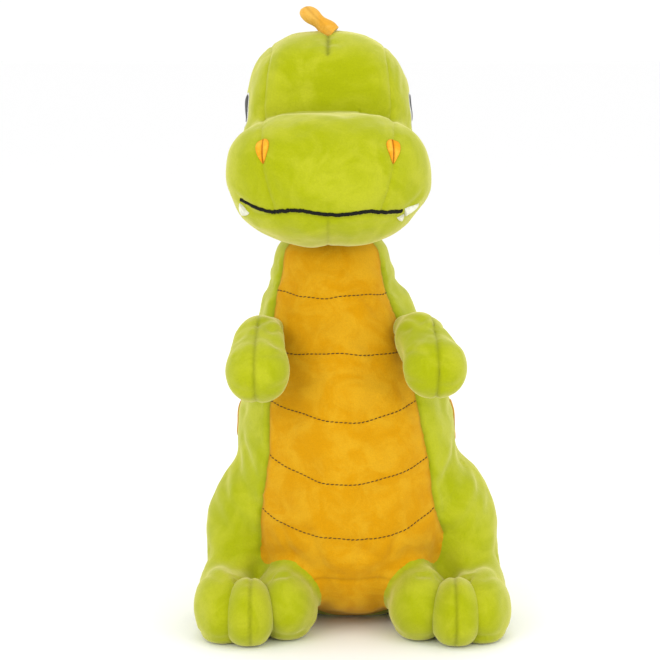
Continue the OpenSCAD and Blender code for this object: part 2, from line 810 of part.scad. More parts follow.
// A felt tooth: a flat wedge that hangs from the mouth line, or stands on it
module tooth(side, y, drop, wide) {
    root = head_form(side > 0 ? 0 : 180, y);
    n = normal(head, side > 0 ? 4 : 176, y, -1);
    t = unit(cross([0, 0, 1], n));
    base = root + n * (thread_t + 0.6) + [0, 0, -sign(drop) * (mouth_w / 2 + 0.3)];
    corners = [base - t * wide / 2, base + t * wide / 2, base - [0, 0, drop]];
    color("ivory")
    polyhedron(
        concat(corners, [for (c = corners) c + n * felt_t * 2]),
        turned([[0, 1, 2], [5, 4, 3], [0, 3, 4], [0, 4, 1], [1, 4, 5], [1, 5, 2],
            [2, 5, 3], [2, 3, 0]], sign(drop))
    );
}

// ---- arms ----
arm_rows = concat([-shoulder_r * 0.55, 0], steps(arm_l * 0.16, arm_l * 0.8, 5),
    [arm_l * 0.92, arm_l * 0.985]);
arm_ring = [for (c = [0:17]) c * 20 - 90];
module arm_panel(side, from, to) {
    f = function (a, s) arm_form(side, a, s);
    color(green)
    panel_solid(
        [for (s = arm_rows) [for (a = steps(from, to, 9)) lifted(f, a, s, 0, side)]],
        [for (s = arm_rows) [for (a = steps(from, to, 9)) lifted(f, a, s, -fabric_t, side)]],
        side
    );
}
module arm_outer_panel(side) { arm_panel(side, -90 + seam_angle, 90 - seam_angle); }
module arm_inner_panel(side) { arm_panel(side, 90 + seam_angle, 270 - seam_angle); }
module arm_stuffing(side) {
    f = function (a, s) arm_form(side, a, s);
    inset = fabric_t + stuffing_gap;
    color("ivory")
    filled_solid(
        [for (i = [0:len(arm_rows) - 2]) let (s = arm_rows[i])
            [for (a = arm_ring) lifted(f, a, s, -inset, side)]],
        side
    );
}

torso_stuffing();
belly_panel();
left_side_panel();
right_side_panel();
base_panel();
belly_stitching();
left_flank_spot();
right_flank_spot();
thigh_panel(left);  // left_thigh_panel
thigh_stuffing(left);  // left_thigh_stuffing
foot_panel(left);  // left_foot_panel
foot_stuffing(left);  // left_foot_stuffing
sole(left);  // left_sole
inner_toe(left);  // left_inner_toe
middle_toe(left);  // left_middle_toe
outer_toe(left);  // left_outer_toe
thigh_panel(right);  // right_thigh_panel
thigh_stuffing(right);  // right_thigh_stuffing
foot_panel(right);  // right_foot_panel
foot_stuffing(right);  // right_foot_stuffing
sole(right);  // right_sole
inner_toe(right);  // right_inner_toe
middle_toe(right);  // right_middle_toe
outer_toe(right);  // right_outer_toe
tail_root_panel();
tail_root_stuffing();
back_spike(0);  // back_spike_1
back_spike(1);  // back_spike_2
back_spike(2);  // back_spike_3
back_spike(3);  // back_spike_4
head_stuffing();
forehead_gusset();
muzzle_gusset();
left_cheek_panel();
right_cheek_panel();
left_chin_panel();
right_chin_panel();
mouth_line();
nostril(left);  // left_nostril
nostril(right);  // right_nostril
eye(left);  // left_eye
eye(right);  // right_eye
pupil(left);  // left_pupil
pupil(right);  // right_pupil
tooth(left, -76, 9, 7);  // left_tooth
tooth(left, -64, -10, 9);  // left_upper_tooth
tooth(right, -74, 9, 12);  // right_tooth
rear_crest_spike();
front_crest_spike();
arm_outer_panel(left);  // left_arm_outer_panel
arm_inner_panel(left);  // left_arm_inner_panel
arm_stuffing(left);  // left_arm_stuffing
arm_outer_panel(right);  // right_arm_outer_panel
arm_inner_panel(right);  // right_arm_inner_panel
arm_stuffing(right);  // right_arm_stuffing
left_tail_panel();
right_tail_panel();
tail_stuffing();
tail_spike(0);  // tail_spike_1
tail_spike(1);  // tail_spike_2
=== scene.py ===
import bpy
import json
import math
import numpy as np
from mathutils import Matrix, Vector, kdtree


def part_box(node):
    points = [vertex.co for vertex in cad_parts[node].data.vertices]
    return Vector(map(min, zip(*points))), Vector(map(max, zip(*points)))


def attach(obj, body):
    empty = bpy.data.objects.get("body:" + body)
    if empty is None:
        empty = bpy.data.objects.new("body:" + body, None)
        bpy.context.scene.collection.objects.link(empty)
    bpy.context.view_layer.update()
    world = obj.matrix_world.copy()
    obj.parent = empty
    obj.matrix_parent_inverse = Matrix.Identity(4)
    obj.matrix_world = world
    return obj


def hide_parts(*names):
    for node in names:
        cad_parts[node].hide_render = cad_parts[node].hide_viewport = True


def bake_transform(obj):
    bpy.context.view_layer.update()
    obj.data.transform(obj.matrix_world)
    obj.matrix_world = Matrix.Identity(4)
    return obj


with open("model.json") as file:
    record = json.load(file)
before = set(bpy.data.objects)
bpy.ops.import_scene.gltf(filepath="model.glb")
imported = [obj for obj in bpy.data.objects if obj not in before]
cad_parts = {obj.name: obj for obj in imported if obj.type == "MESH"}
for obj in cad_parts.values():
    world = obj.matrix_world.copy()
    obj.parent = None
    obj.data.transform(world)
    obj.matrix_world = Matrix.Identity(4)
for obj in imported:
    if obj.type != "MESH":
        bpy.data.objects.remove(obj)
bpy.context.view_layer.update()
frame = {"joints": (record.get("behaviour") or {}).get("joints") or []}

# A stuffed dinosaur. Forms are worked out in millimetres as smooth distance fields about
# the spine, and every finished mesh is written in metres.
mm = 0.001
joints = {j["name"]: j for j in frame["joints"]}
scene = bpy.context.scene


def jointSpot(name):
    return np.array(joints[name]["pos_m"], float) / mm


def nodeBox(name):
    low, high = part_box(name)
    return np.array(low) / mm, np.array(high) / mm


neckBall = jointSpot("neck_nod")
axisY = neckBall[1]  # the spine's place
spine = np.array([0, axisY, 0])
neckX, neckZ = neckBall[0], neckBall[2]
neckRadius = 48.5
headX = neckX - 3
muzzleFront = nodeBox("muzzle_gusset")[0][1] - axisY
tailBend = jointSpot("tail_wag") - spine
tailTip = nodeBox("left_tail_panel")[1][1] - axisY
crestRoot = jointSpot("crest_flop") - spine

# ---- camera ----
cameraSetup = {
    "distance": 1600, "elevation": 8.0, "aimX": -16.6, "aimZ": 220, "lens": 115.6,
    "sensor": 36, "shiftY": -0.0028,
}


def makeCamera(setup):
    data = bpy.data.cameras.new("studioCamera")
    camera = bpy.data.objects.new("studioCamera", data)
    scene.collection.objects.link(camera)
    rise = math.radians(setup["elevation"])
    camera.location = (
        setup["aimX"] * mm,
        (axisY - setup["distance"] * math.cos(rise)) * mm,
        (setup["aimZ"] + setup["distance"] * math.sin(rise)) * mm,
    )
    camera.rotation_euler = (math.pi / 2 - rise, 0, 0)
    data.lens = setup["lens"]
    data.sensor_width = setup["sensor"]
    data.shift_y = setup["shiftY"]
    scene.camera = camera


makeCamera(cameraSetup)
print("camera made")


# ---- distance fields, in millimetres, with the spine at y = 0 ----
def softMin(a, b, k):
    h = np.clip(0.5 + 0.5 * (b - a) / k, 0, 1)
    return b + (a - b) * h - k * h * (1 - h)


def softMax(a, b, k):
    return -softMin(-a, -b, k)


def along(keys, s):
    # a smooth curve through the rows of keys; the first column is the station
    keys = np.asarray(keys, float)
    n = len(keys)
    slope = np.array([
        (keys[min(i + 1, n - 1)] - keys[max(i - 1, 0)])
        / (keys[min(i + 1, n - 1), 0] - keys[max(i - 1, 0), 0]) for i in range(n)
    ])
    i = np.clip(np.searchsorted(keys[:, 0], s, "right") - 1, 0, n - 2)
    h = keys[i + 1, 0] - keys[i, 0]
    t = np.clip((s - keys[i, 0]) / h, 0, 1)
    t2, t3 = t * t, t * t * t
    return [
        (2 * t3 - 3 * t2 + 1) * keys[i, c] + (t3 - 2 * t2 + t) * h * slope[i, c]
        + (3 * t2 - 2 * t3) * keys[i + 1, c] + (t3 - t2) * h * slope[i + 1, c]
        for c in range(1, keys.shape[1])
    ]


def blob(x, y, z, centre, size, power=2.0):
    # an egg with its own squareness; a size may be (below, above) the centre
    total = 0
    for value, middle, half in zip((x, y, z), centre, size):
        off = value - middle
        if isinstance(half, tuple):
            half = np.where(off < 0, half[0], half[1])
        total = total + np.abs(off / half) ** power
    k = np.maximum(total ** (1 / power), 0.25)
    reach = np.sqrt((x - centre[0]) ** 2 + (y - centre[1]) ** 2 + (z - centre[2]) ** 2)
    return reach * (1 - 1 / k)


def limb(x, y, z, a, b, ra, rb):
    # a rounded cone between two points
    a, b = np.asarray(a, float), np.asarray(b, float)
    d = b - a
    t = ((x - a[0]) * d[0] + (y - a[1]) * d[1] + (z - a[2]) * d[2]) / d.dot(d)
    t = np.clip(t, 0, 1)
    off = np.sqrt(
        (x - a[0] - t * d[0]) ** 2 + (y - a[1] - t * d[1]) ** 2 + (z - a[2] - t * d[2]) ** 2
    )
    return off - (ra + (rb - ra) * t)


def ball(x, y, z, centre, radius):
    return np.sqrt(
        (x - centre[0]) ** 2 + (y - centre[1]) ** 2 + (z - centre[2]) ** 2
    ) - radius


# ---- meshes from fields ----
def netSurface(field, low, high, step):
    axes = [np.arange(low[i] - step, high[i] + 2 * step, step) for i in range(3)]
    f = field(*np.meshgrid(*axes, indexing="ij"))
    shape = np.array(f.shape)
    inside = f < 0
    count = np.zeros(shape - 1, int)
    corners = [(i, j, k) for i in (0, 1) for j in (0, 1) for k in (0, 1)]
    for i, j, k in corners:
        count += inside[i:shape[0] - 1 + i, j:shape[1] - 1 + j, k:shape[2] - 1 + k]
    cells = np.argwhere((count > 0) & (count < 8))
    ids = np.full(shape - 1, -1)
    ids[tuple(cells.T)] = np.arange(len(cells))
    total = np.zeros((len(cells), 3))
    hits = np.zeros(len(cells))
    for a in corners:
        for b in corners:
            if sum(b) - sum(a) != 1 or min(np.subtract(b, a)) < 0:
                continue
            fa = f[tuple((cells + a).T)]
            fb = f[tuple((cells + b).T)]
            cross = (fa < 0) != (fb < 0)
            t = np.where(cross, fa / np.where(cross, fa - fb, 1), 0)
            spot = np.array(a) + t[:, None] * (np.array(b) - np.array(a))
            total += spot * cross[:, None]
            hits += cross
    points = np.array([axes[i][0] for i in range(3)]) + step * (cells + total / hits[:, None])
    quads = []
    for axis in range(3):
        u, v = (axis + 1) % 3, (axis + 2) % 3
        here = [slice(0, -1) if i == axis else slice(1, -1) for i in range(3)]
        there = [slice(1, None) if i == axis else slice(1, -1) for i in range(3)]
        first, second = inside[tuple(here)], inside[tuple(there)]
        for outward, mask in ((True, first & ~second), (False, second & ~first)):
            edge = np.argwhere(mask)
            for i in (u, v):
                edge[:, i] += 1
            loop = []
            for du, dv in ((-1, -1), (0, -1), (0, 0), (-1, 0)):
                cell = edge.copy()
                cell[:, u] += du
                cell[:, v] += dv
                loop.append(ids[tuple(cell.T)])
            quad = np.stack(loop, 1)
            quads.append(quad if outward else quad[:, ::-1])
    quads = np.concatenate(quads)
    tris = np.concatenate([quads[:, [0, 1, 2]], quads[:, [0, 2, 3]]])
    return points, tris


def gradient(field, p, h=0.4):
    out = np.empty_like(p)
    for i in range(3):
        d = np.zeros(3)
        d[i] = h
        out[:, i] = (field(*(p + d).T) - field(*(p - d).T)) / (2 * h)
    return out


def unit(v):
    return v / np.maximum(np.linalg.norm(v, axis=-1, keepdims=True), 1e-9)


def settle(field, p, rounds=3):
    # moves points onto the surface, and gives the way out there
    for _ in range(rounds):
        g = gradient(field, p)
        g2 = np.maximum((g * g).sum(1), 0.05)
        move = g * (field(*p.T) / g2)[:, None]
        length = np.linalg.norm(move, axis=1, keepdims=True)
        p = p - move * np.minimum(1, 2.5 / np.maximum(length, 1e-9))
    return p, unit(gradient(field, p))


def relax(p, tris, rounds):
    a = np.concatenate([tris[:, 0], tris[:, 1], tris[:, 2]])
    b = np.concatenate([tris[:, 1], tris[:, 2], tris[:, 0]])
    for _ in range(rounds):
        total = np.zeros_like(p)
        count = np.zeros(len(p))
        for i in range(3):
            total[:, i] = np.bincount(a, p[b, i], len(p)) + np.bincount(b, p[a, i], len(p))
        count = np.bincount(a, minlength=len(p)) + np.bincount(b, minlength=len(p))
        p = 0.5 * p + 0.5 * total / count[:, None]
    return p


def makeForm(field, low, high, step):
    p, tris = netSurface(field, low, high, step)
    p = relax(p, tris, 2)
    p, n = settle(field, p, 2)
    return {"points": p, "normals": n, "tris": tris}


def pick(form, tris):
    used, new = np.unique(tris, return_inverse=True)
    return {
        "points": form["points"][used], "normals": form["normals"][used],
        "tris": new.reshape(-1, 3),
    }


def split(form, value, snap=0.35):
    # cuts a form along value = 0: the part below, the part above, and the line's points
    p, n, tris = form["points"], form["normals"], form["tris"]
    v = np.where(np.abs(value) < snap, 0, value)
    sign = np.sign(v).astype(int)
    s = sign[tris]
    crossed = np.stack([s[:, i] * s[:, (i + 1) % 3] < 0 for i in range(3)], 1)
    many = crossed.sum(1)
    keep = tris[many == 0]
    keepSign = s[many == 0].sum(1)
    work = tris[many > 0]
    edges = np.concatenate([work[:, [i, (i + 1) % 3]] for i in range(3)])
    edges = edges[sign[edges[:, 0]] * sign[edges[:, 1]] < 0]
    edges = np.unique(np.sort(edges, 1), axis=0)
    t = (v[edges[:, 0]] / (v[edges[:, 0]] - v[edges[:, 1]]))[:, None]
    fresh = p[edges[:, 0]] * (1 - t) + p[edges[:, 1]] * t
    freshN = unit(n[edges[:, 0]] * (1 - t) + n[edges[:, 1]] * t)
    key = edges[:, 0] * len(p) + edges[:, 1]

    def middle(a, b):
        low, high = np.minimum(a, b), np.maximum(a, b)
        return len(p) + np.searchsorted(key, low * len(p) + high)

    out, outSign = [keep], [keepSign]
    for i in range(3):  # one corner is on the line
        rows = (many == 1) & crossed[:, (i + 1) % 3]
        a, b, c = tris[rows][:, i], tris[rows][:, (i + 1) % 3], tris[rows][:, (i + 2) % 3]
        m = middle(b, c)
        out += [np.stack([a, b, m], 1), np.stack([a, m, c], 1)]
        outSign += [sign[b], sign[c]]
    for i in range(3):  # one corner stands alone
        rows = (many == 2) & crossed[:, i] & crossed[:, (i + 2) % 3]
        a, b, c = tris[rows][:, i], tris[rows][:, (i + 1) % 3], tris[rows][:, (i + 2) % 3]
        m, k = middle(a, b), middle(a, c)
        out += [np.stack([a, m, k], 1), np.stack([m, b, c], 1), np.stack([m, c, k], 1)]
        outSign += [sign[a], sign[b], sign[b]]
    whole = {
        "points": np.concatenate([p, fresh]), "normals": np.concatenate([n, freshN]),
    }
    tris, sides = np.concatenate(out), np.concatenate(outSign)
    line = np.concatenate([p[sign == 0], fresh])
    return pick(whole, tris[sides < 0]), pick(whole, tris[sides >= 0]), line


def nearest(points, targets):
    tree = kdtree.KDTree(len(targets))
    for i, q in enumerate(targets.tolist()):
        tree.insert(q, i)
    tree.balance()
    return np.array([tree.find(q)[2] for q in points.tolist()])


def lumps(p, size, seed):
    # a smooth wandering value between about -1 and 1
    draw = np.random.default_rng(seed)
    total = 0
    for _ in range(9):
        way = unit(draw.normal(size=3)) * 2 * math.pi / (size * draw.uniform(0.7, 1.5))
        total = total + np.sin(p @ way + draw.uniform(0, 2 * math.pi))
    return total / 3.5


def layFolds(field, folds):
    # each fold's line is laid on the form: (places, width, depth)
    laid = []
    for start, end, width, depth in folds:
        t = np.linspace(0, 1, 28)[:, None]
        line = np.asarray(start, float) * (1 - t) + np.asarray(end, float) * t
        for _ in range(3):
            line, _ = settle(field, line, 6)
        laid.append((line, width, depth))
    return laid


def crease(p, line, width, depth):
    # a fold: a valley with a soft ridge on each side, fading towards its ends
    low, high = line.min(0) - width * 4.5, line.max(0) + width * 4.5
    near = np.all((p > low) & (p < high), axis=1)
    up = np.zeros(len(p))
    if near.any():
        q = p[near]
        d2 = ((q[:, None, :] - line[None, :, :]) ** 2).sum(2)
        best = d2.argmin(1)
        off = np.sqrt(d2[np.arange(len(q)), best]) / width
        t = best / (len(line) - 1)
        fade = np.clip(1 - np.abs(2 * t - 1) ** 3, 0, 1) ** 0.7
        up[near] = depth * fade * (
            0.18 * np.exp(-((off - 2.3) / 1.1) ** 2) - np.exp(-off * off))
    return up


def faceSheet(form, thick):
    # a closed panel: its outer face, an inner face and a rim
    p, n, tris = form["points"], form["normals"], form["tris"]
    count = len(p)
    edges = np.concatenate([tris[:, [0, 1]], tris[:, [1, 2]], tris[:, [2, 0]]])
    key = edges[:, 0].astype(np.int64) * count + edges[:, 1]
    back = edges[:, 1].astype(np.int64) * count + edges[:, 0]
    rim = edges[~np.isin(key, back)]
    inner = p - n * thick
    a, b = rim[:, 0], rim[:, 1]
    walls = np.concatenate([
        np.stack([b, a, a + count], 1), np.stack([b, a + count, b + count], 1)
    ])
    return np.concatenate([p, inner]), np.concatenate([tris, tris[:, ::-1] + count, walls])


def makePiece(name, points, tris, material, body, nodes, paintedShade=None):
    mesh = bpy.data.meshes.new(name)
    mesh.from_pydata(((points + spine) * mm).tolist(), [], np.asarray(tris).tolist())
    mesh.validate()
    mesh.polygons.foreach_set("use_smooth", np.ones(len(mesh.polygons), bool))
    mesh.set_sharp_from_angle(angle=math.radians(58))
    # painted shade along seams and rims is kept on the points for the material
    if paintedShade is not None:
        mesh.attributes.new("seamPaintedShade", "FLOAT", "POINT").data.foreach_set("value", paintedShade)
    mesh.materials.append(material)
    piece = bpy.data.objects.new(name, mesh)
    scene.collection.objects.link(piece)
    finishPiece(piece, body, nodes)
    return piece


def finishPiece(piece, body, nodes):
    if body:
        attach(piece, body)
    if nodes:
        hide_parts(*nodes)


# ---- materials ----
def linear(rgb):
    return tuple(
        (c / 255 / 12.92 if c / 255 <= 0.04045 else ((c / 255 + 0.055) / 1.055) ** 2.4)
        for c in rgb
    ) + (1,)


def addNode(tree, kind, values=None, **props):
    made = tree.nodes.new(kind)
    for key, value in props.items():
        setattr(made, key, value)
    for key, value in (values or {}).items():
        made.inputs[key].default_value = value
    return made


def groupSockets(group, ins, outs):
    for name, kind, value in ins:
        made = group.interface.new_socket(name, in_out="INPUT", socket_type=kind)
        if value is not None:
            made.default_value = value
    for name, kind in outs:
        group.interface.new_socket(name, in_out="OUTPUT", socket_type=kind)
    return group.nodes.new("NodeGroupInput"), group.nodes.new("NodeGroupOutput")


def makeNapGroup():
    # brushed pile: patches of pale and deep nap, a fine grain, and its height; along seams the
    # colour also gets painted shade
    group = bpy.data.node_groups.new("brushedNap", "ShaderNodeTree")
    colour, number = "NodeSocketColor", "NodeSocketFloat"
    inlet, outlet = groupSockets(
        group,
        [("Base", colour, None), ("Pale", colour, None), ("Deep", colour, None),
            ("Patch Size", number, 0.03), ("Patch Strength", number, 0.5),
            ("Grain Size", number, 0.0012), ("Painted Seam Shade", number, 0.0)],
        [("Color", colour), ("Height", number)],
    )
    link = group.links.new
    spot = addNode(group, "ShaderNodeTexCoord")
    one = addNode(group, "ShaderNodeMath", {0: 1.0}, operation="DIVIDE")
    link(inlet.outputs["Patch Size"], one.inputs[1])
    patch = addNode(group, "ShaderNodeTexNoise",
        {"Detail": 4.0, "Roughness": 0.62, "Distortion": 0.7})
    link(spot.outputs["Object"], patch.inputs["Vector"])
    link(one.outputs[0], patch.inputs["Scale"])
    ramp = addNode(group, "ShaderNodeMapRange",
        {"From Min": 0.36, "From Max": 0.66}, interpolation_type="SMOOTHSTEP")
    link(patch.outputs["Fac"], ramp.inputs["Value"])
    tone = addNode(group, "ShaderNodeMix", data_type="RGBA")
    link(ramp.outputs[0], tone.inputs["Factor"])
    link(inlet.outputs["Deep"], tone.inputs["A"])
    link(inlet.outputs["Pale"], tone.inputs["B"])
    soft = addNode(group, "ShaderNodeMix", data_type="RGBA")
    link(inlet.outputs["Patch Strength"], soft.inputs["Factor"])
    link(inlet.outputs["Base"], soft.inputs["A"])
    link(tone.outputs["Result"], soft.inputs["B"])
    two = addNode(group, "ShaderNodeMath", {0: 1.0}, operation="DIVIDE")
    link(inlet.outputs["Grain Size"], two.inputs[1])
    grain = addNode(group, "ShaderNodeTexNoise", {"Detail": 2.0, "Roughness": 0.7})
    link(spot.outputs["Object"], grain.inputs["Vector"])
    link(two.outputs[0], grain.inputs["Scale"])
    speck = addNode(group, "ShaderNodeMapRange",
        {"From Min": 0.3, "From Max": 0.7, "To Min": 0.93, "To Max": 1.05})
    link(grain.outputs["Fac"], speck.inputs["Value"])
    worn = addNode(group, "ShaderNodeVectorMath", operation="SCALE")
    link(soft.outputs["Result"], worn.inputs[0])
    link(speck.outputs[0], worn.inputs["Scale"])
    # painted shade: near seams the colour is pulled towards a dim copy of Deep, standing in for
    # the shade in the seam's valley
    seam = addNode(group, "ShaderNodeMix", data_type="RGBA")
    link(inlet.outputs["Painted Seam Shade"], seam.inputs["Factor"])
    link(worn.outputs["Vector"], seam.inputs["A"])
    paintedShadeColour = addNode(group, "ShaderNodeVectorMath", {"Scale": 0.4}, operation="SCALE")
    link(inlet.outputs["Deep"], paintedShadeColour.inputs[0])
    link(paintedShadeColour.outputs["Vector"], seam.inputs["B"])
    link(seam.outputs["Result"], outlet.inputs["Color"])
    link(grain.outputs["Fac"], outlet.inputs["Height"])
    return group


napGroup = makeNapGroup()


def makePlush(name, look):
    material = bpy.data.materials.new(name)
    material.use_nodes = True
    tree = material.node_tree
    shader = tree.nodes["Principled BSDF"]
    nap = addNode(tree, "ShaderNodeGroup", node_tree=napGroup)
    nap.inputs["Base"].default_value = linear(look["base"])
    nap.inputs["Pale"].default_value = linear(look["pale"])
    nap.inputs["Deep"].default_value = linear(look["deep"])
    nap.inputs["Patch Size"].default_value = look["patch"] * mm
    nap.inputs["Patch Strength"].default_value = look["strength"]
    nap.inputs["Grain Size"].default_value = look["grain"] * mm
    # the painted seam shade is read from the mesh to darken the colour
    paintedShadeAttribute = addNode(tree, "ShaderNodeAttribute", attribute_name="seamPaintedShade")
    tree.links.new(paintedShadeAttribute.outputs["Fac"], nap.inputs["Painted Seam Shade"])
    bump = addNode(tree, "ShaderNodeBump", {"Strength": look["bump"], "Distance": 0.0004})
    tree.links.new(nap.outputs["Height"], bump.inputs["Height"])
    tree.links.new(nap.outputs["Color"], shader.inputs["Base Color"])
    tree.links.new(bump.outputs["Normal"], shader.inputs["Normal"])
    shader.inputs["Roughness"].default_value = look["roughness"]
    shader.inputs["Specular IOR Level"].default_value = look["specular"]
    shader.inputs["Sheen Weight"].default_value = look["sheen"]
    shader.inputs["Sheen Roughness"].default_value = 0.45
    shader.inputs["Sheen Tint"].default_value = linear(look["sheenTint"])
    return material


looks = {
    "greenPlush": {
        "base": (161, 168, 1), "pale": (175, 178, 42), "deep": (150, 158, 0), "patch": 30,
        "strength": 0.6, "grain": 1.1, "bump": 0.4, "roughness": 0.95, "specular": 0.1,
        "sheen": 0.8, "sheenTint": (244, 237, 172),
    },
    "bellyPlush": {
        "base": (200, 145, 1), "pale": (208, 160, 34), "deep": (194, 134, 0), "patch": 20,
        "strength": 0.5, "grain": 1.0, "bump": 0.35, "roughness": 0.92, "specular": 0.1,
        "sheen": 0.3, "sheenTint": (255, 230, 160),
    },
    "orangePlush": {
        "base": (222, 166, 56), "pale": (224, 178, 92), "deep": (208, 142, 24), "patch": 16,
        "strength": 0.5, "grain": 1.0, "bump": 0.35, "roughness": 0.95, "specular": 0.15,
        "sheen": 0.3, "sheenTint": (255, 225, 160),
    },
    "nostrilFelt": {
        "base": (246, 168, 40), "pale": (248, 182, 62), "deep": (222, 132, 0), "patch": 8,
        "strength": 0.5, "grain": 0.8, "bump": 0.3, "roughness": 0.95, "specular": 0.1,
        "sheen": 0.2, "sheenTint": (255, 220, 160),
    },
    "toothFelt": {
        "base": (222, 222, 205), "pale": (234, 234, 222), "deep": (196, 196, 176), "patch": 6,
        "strength": 0.5, "grain": 0.7, "bump": 0.4, "roughness": 1.0, "specular": 0.1,
        "sheen": 0.2, "sheenTint": (255, 255, 245),
    },
    "eyeWhiteFelt": {
        "base": (240, 240, 234), "pale": (248, 248, 244), "deep": (214, 214, 206), "patch": 7,
        "strength": 0.4, "grain": 0.7, "bump": 0.3, "roughness": 0.9, "specular": 0.15,
        "sheen": 0.1, "sheenTint": (255, 255, 255),
    },
    "eyeBlackThread": {
        "base": (22, 24, 20), "pale": (38, 40, 34), "deep": (12, 13, 10), "patch": 5,
        "strength": 0.5, "grain": 0.5, "bump": 0.5, "roughness": 0.45, "specular": 0.4,
        "sheen": 0.0, "sheenTint": (255, 255, 255),
    },
    "mouthThread": {
        "base": (9, 10, 3), "pale": (20, 22, 8), "deep": (5, 6, 1), "patch": 5,
        "strength": 0.5, "grain": 0.4, "bump": 0.5, "roughness": 0.65, "specular": 0.2,
        "sheen": 0.0, "sheenTint": (255, 255, 255),
    },
    "bellyThread": {
        "base": (72, 48, 6), "pale": (98, 68, 16), "deep": (44, 28, 2), "patch": 5,
        "strength": 0.5, "grain": 0.4, "bump": 0.5, "roughness": 0.6, "specular": 0.3,
        "sheen": 0.0, "sheenTint": (255, 255, 255),
    },
    "fibreFill": {
        "base": (236, 233, 224), "pale": (246, 244, 238), "deep": (212, 208, 196), "patch": 14,
        "strength": 0.6, "grain": 1.6, "bump": 0.8, "roughness": 1.0, "specular": 0.05,
        "sheen": 0.3, "sheenTint": (255, 255, 255),
    },
}
materials = {name: makePlush(name, look) for name, look in looks.items()}
print("materials made")


# ---- the cloth: a coarse copy is blown up with its seams held, then read back ----
clothSetup = {"pressure": 4.0, "frames": 20, "hold": 5.0, "slack": -0.035}


def blowUp(name, field, low, high, step, held, cap):
    p, tris = netSurface(field, low, high, step)
    p = relax(p, tris, 1)
    p, n = settle(field, p, 2)
    mesh = bpy.data.meshes.new(name + "Cloth")
    mesh.from_pydata((p * mm).tolist(), [], tris.tolist())
    copy = bpy.data.objects.new(name + "Cloth", mesh)
    scene.collection.objects.link(copy)
    reach = nearest(p, held)
    grip = copy.vertex_groups.new(name="held")
    for i, d in enumerate(reach.tolist()):
        if d < clothSetup["hold"] + step * 0.5:
            grip.add([i], 1.0, "REPLACE")
    cloth = copy.modifiers.new("cloth", "CLOTH")
    settings = cloth.settings
    settings.quality = 6
    settings.mass = 0.3
    settings.tension_stiffness = 15
    settings.compression_stiffness = 15
    settings.shear_stiffness = 5
    settings.bending_stiffness = 0.5
    settings.use_pressure = True
    settings.uniform_pressure_force = clothSetup["pressure"]
    settings.shrink_min = clothSetup["slack"]
    settings.vertex_group_mass = "held"
    settings.effector_weights.gravity = 0
    cloth.collision_settings.use_collision = False
    cloth.collision_settings.use_self_collision = False
    for i in range(1, clothSetup["frames"] + 1):
        scene.frame_set(i)
    shown = copy.evaluated_get(bpy.context.evaluated_depsgraph_get())
    moved = np.empty(len(p) * 3, np.float32)
    shown.data.vertices.foreach_get("co", moved)
    delta = moved.reshape(-1, 3) / mm - p
    bpy.data.objects.remove(copy)
    bpy.data.meshes.remove(mesh)
    scene.frame_set(1)
    delta = relax(delta, tris, 1)
    swell = (delta * n).sum(1)
    # the form keeps its size: only the unevenness of the swelling is kept
    delta -= n * np.percentile(swell[reach > clothSetup["hold"] * 2], 75)
    size = np.linalg.norm(delta, axis=1, keepdims=True)
    delta = delta * np.minimum(1, cap / np.maximum(size, 1e-9))
    tree = kdtree.KDTree(len(p))
    for i, q in enumerate(p.tolist()):
        tree.insert(q, i)
    tree.balance()
    print(name, "cloth settled, largest move", round(float(size.max()), 2), "mm")
    return {"tree": tree, "delta": delta, "reach": step}


def readBack(cloth, points):
    if cloth is None:
        return np.zeros_like(points)
    out = np.zeros_like(points)
    for i, q in enumerate(points.tolist()):
        total, weight = np.zeros(3), 0.0
        for _, k, d in cloth["tree"].find_n(q, 5):
            w = max(1 - d / (cloth["reach"] * 2.2), 0.02) ** 2
            total += cloth["delta"][k] * w
            weight += w
        out[i] = total / weight
    return out


def dress(form, soft):
    # where the points of a form end up once sewn and stuffed, and how much painted shade darkens
    # them near a seam
    p, n = form["points"], form["normals"]
    up = np.zeros(len(p))
    paintedSeamDark = np.zeros(len(p))
    for line, depth, width, pucker, paintedShade in soft["seams"]:
        d = nearest(p, line)
        g = np.exp(-(d / width) ** 2)
        up -= depth * g
        if pucker:
            up += pucker * lumps(p, 11, 5) * np.exp(-(d / (width * 3.2)) ** 2) * (1 - g)
        # painted shade: each seam's last number darkens the colour along its valley
        paintedSeamDark = np.maximum(paintedSeamDark, paintedShade * np.exp(-(d / (width * 0.75)) ** 2))
    for line, width, depth in soft["creases"]:
        up += crease(p, line, width, depth)
    up += soft["lumps"] * lumps(p, 42, 3) + 0.25 * soft["lumps"] * lumps(p, 17, 8)
    keep = soft.get("keep")
    still = keep(p) if keep else 1
    move = (n * up[:, None] + readBack(soft["cloth"], p)) * np.reshape(still, (-1, 1))
    return {"points": p + move, "normals": n, "tris": form["tris"], "paintedShade": paintedSeamDark}


def sewnPanel(name, form, soft, material, body, nodes, thick=1.8):
    if len(form["tris"]) == 0:
        raise ValueError("empty panel " + name)
    out = dress(form, soft)
    points, tris = faceSheet(out, thick)
    paintedShade = np.concatenate([out["paintedShade"], out["paintedShade"]])
    return makePiece(
        name, points, tris, materials[material], body, nodes, paintedShade)


def closedPiece(name, form, soft, material, body, nodes):
    out = dress(form, soft)
    return makePiece(name, out["points"], out["tris"], materials[material], body, nodes,
        out["paintedShade"])


def onForm(field, soft, points, lift=0.0):
    # lays points on a dressed form: places and ways out
    p, n = settle(field, np.asarray(points, float), 8)
    out = dress({"points": p, "normals": n, "tris": None}, soft)
    return out["points"] + n * lift, n


plain = {"seams": [], "creases": [], "lumps": 0.0, "cloth": None}

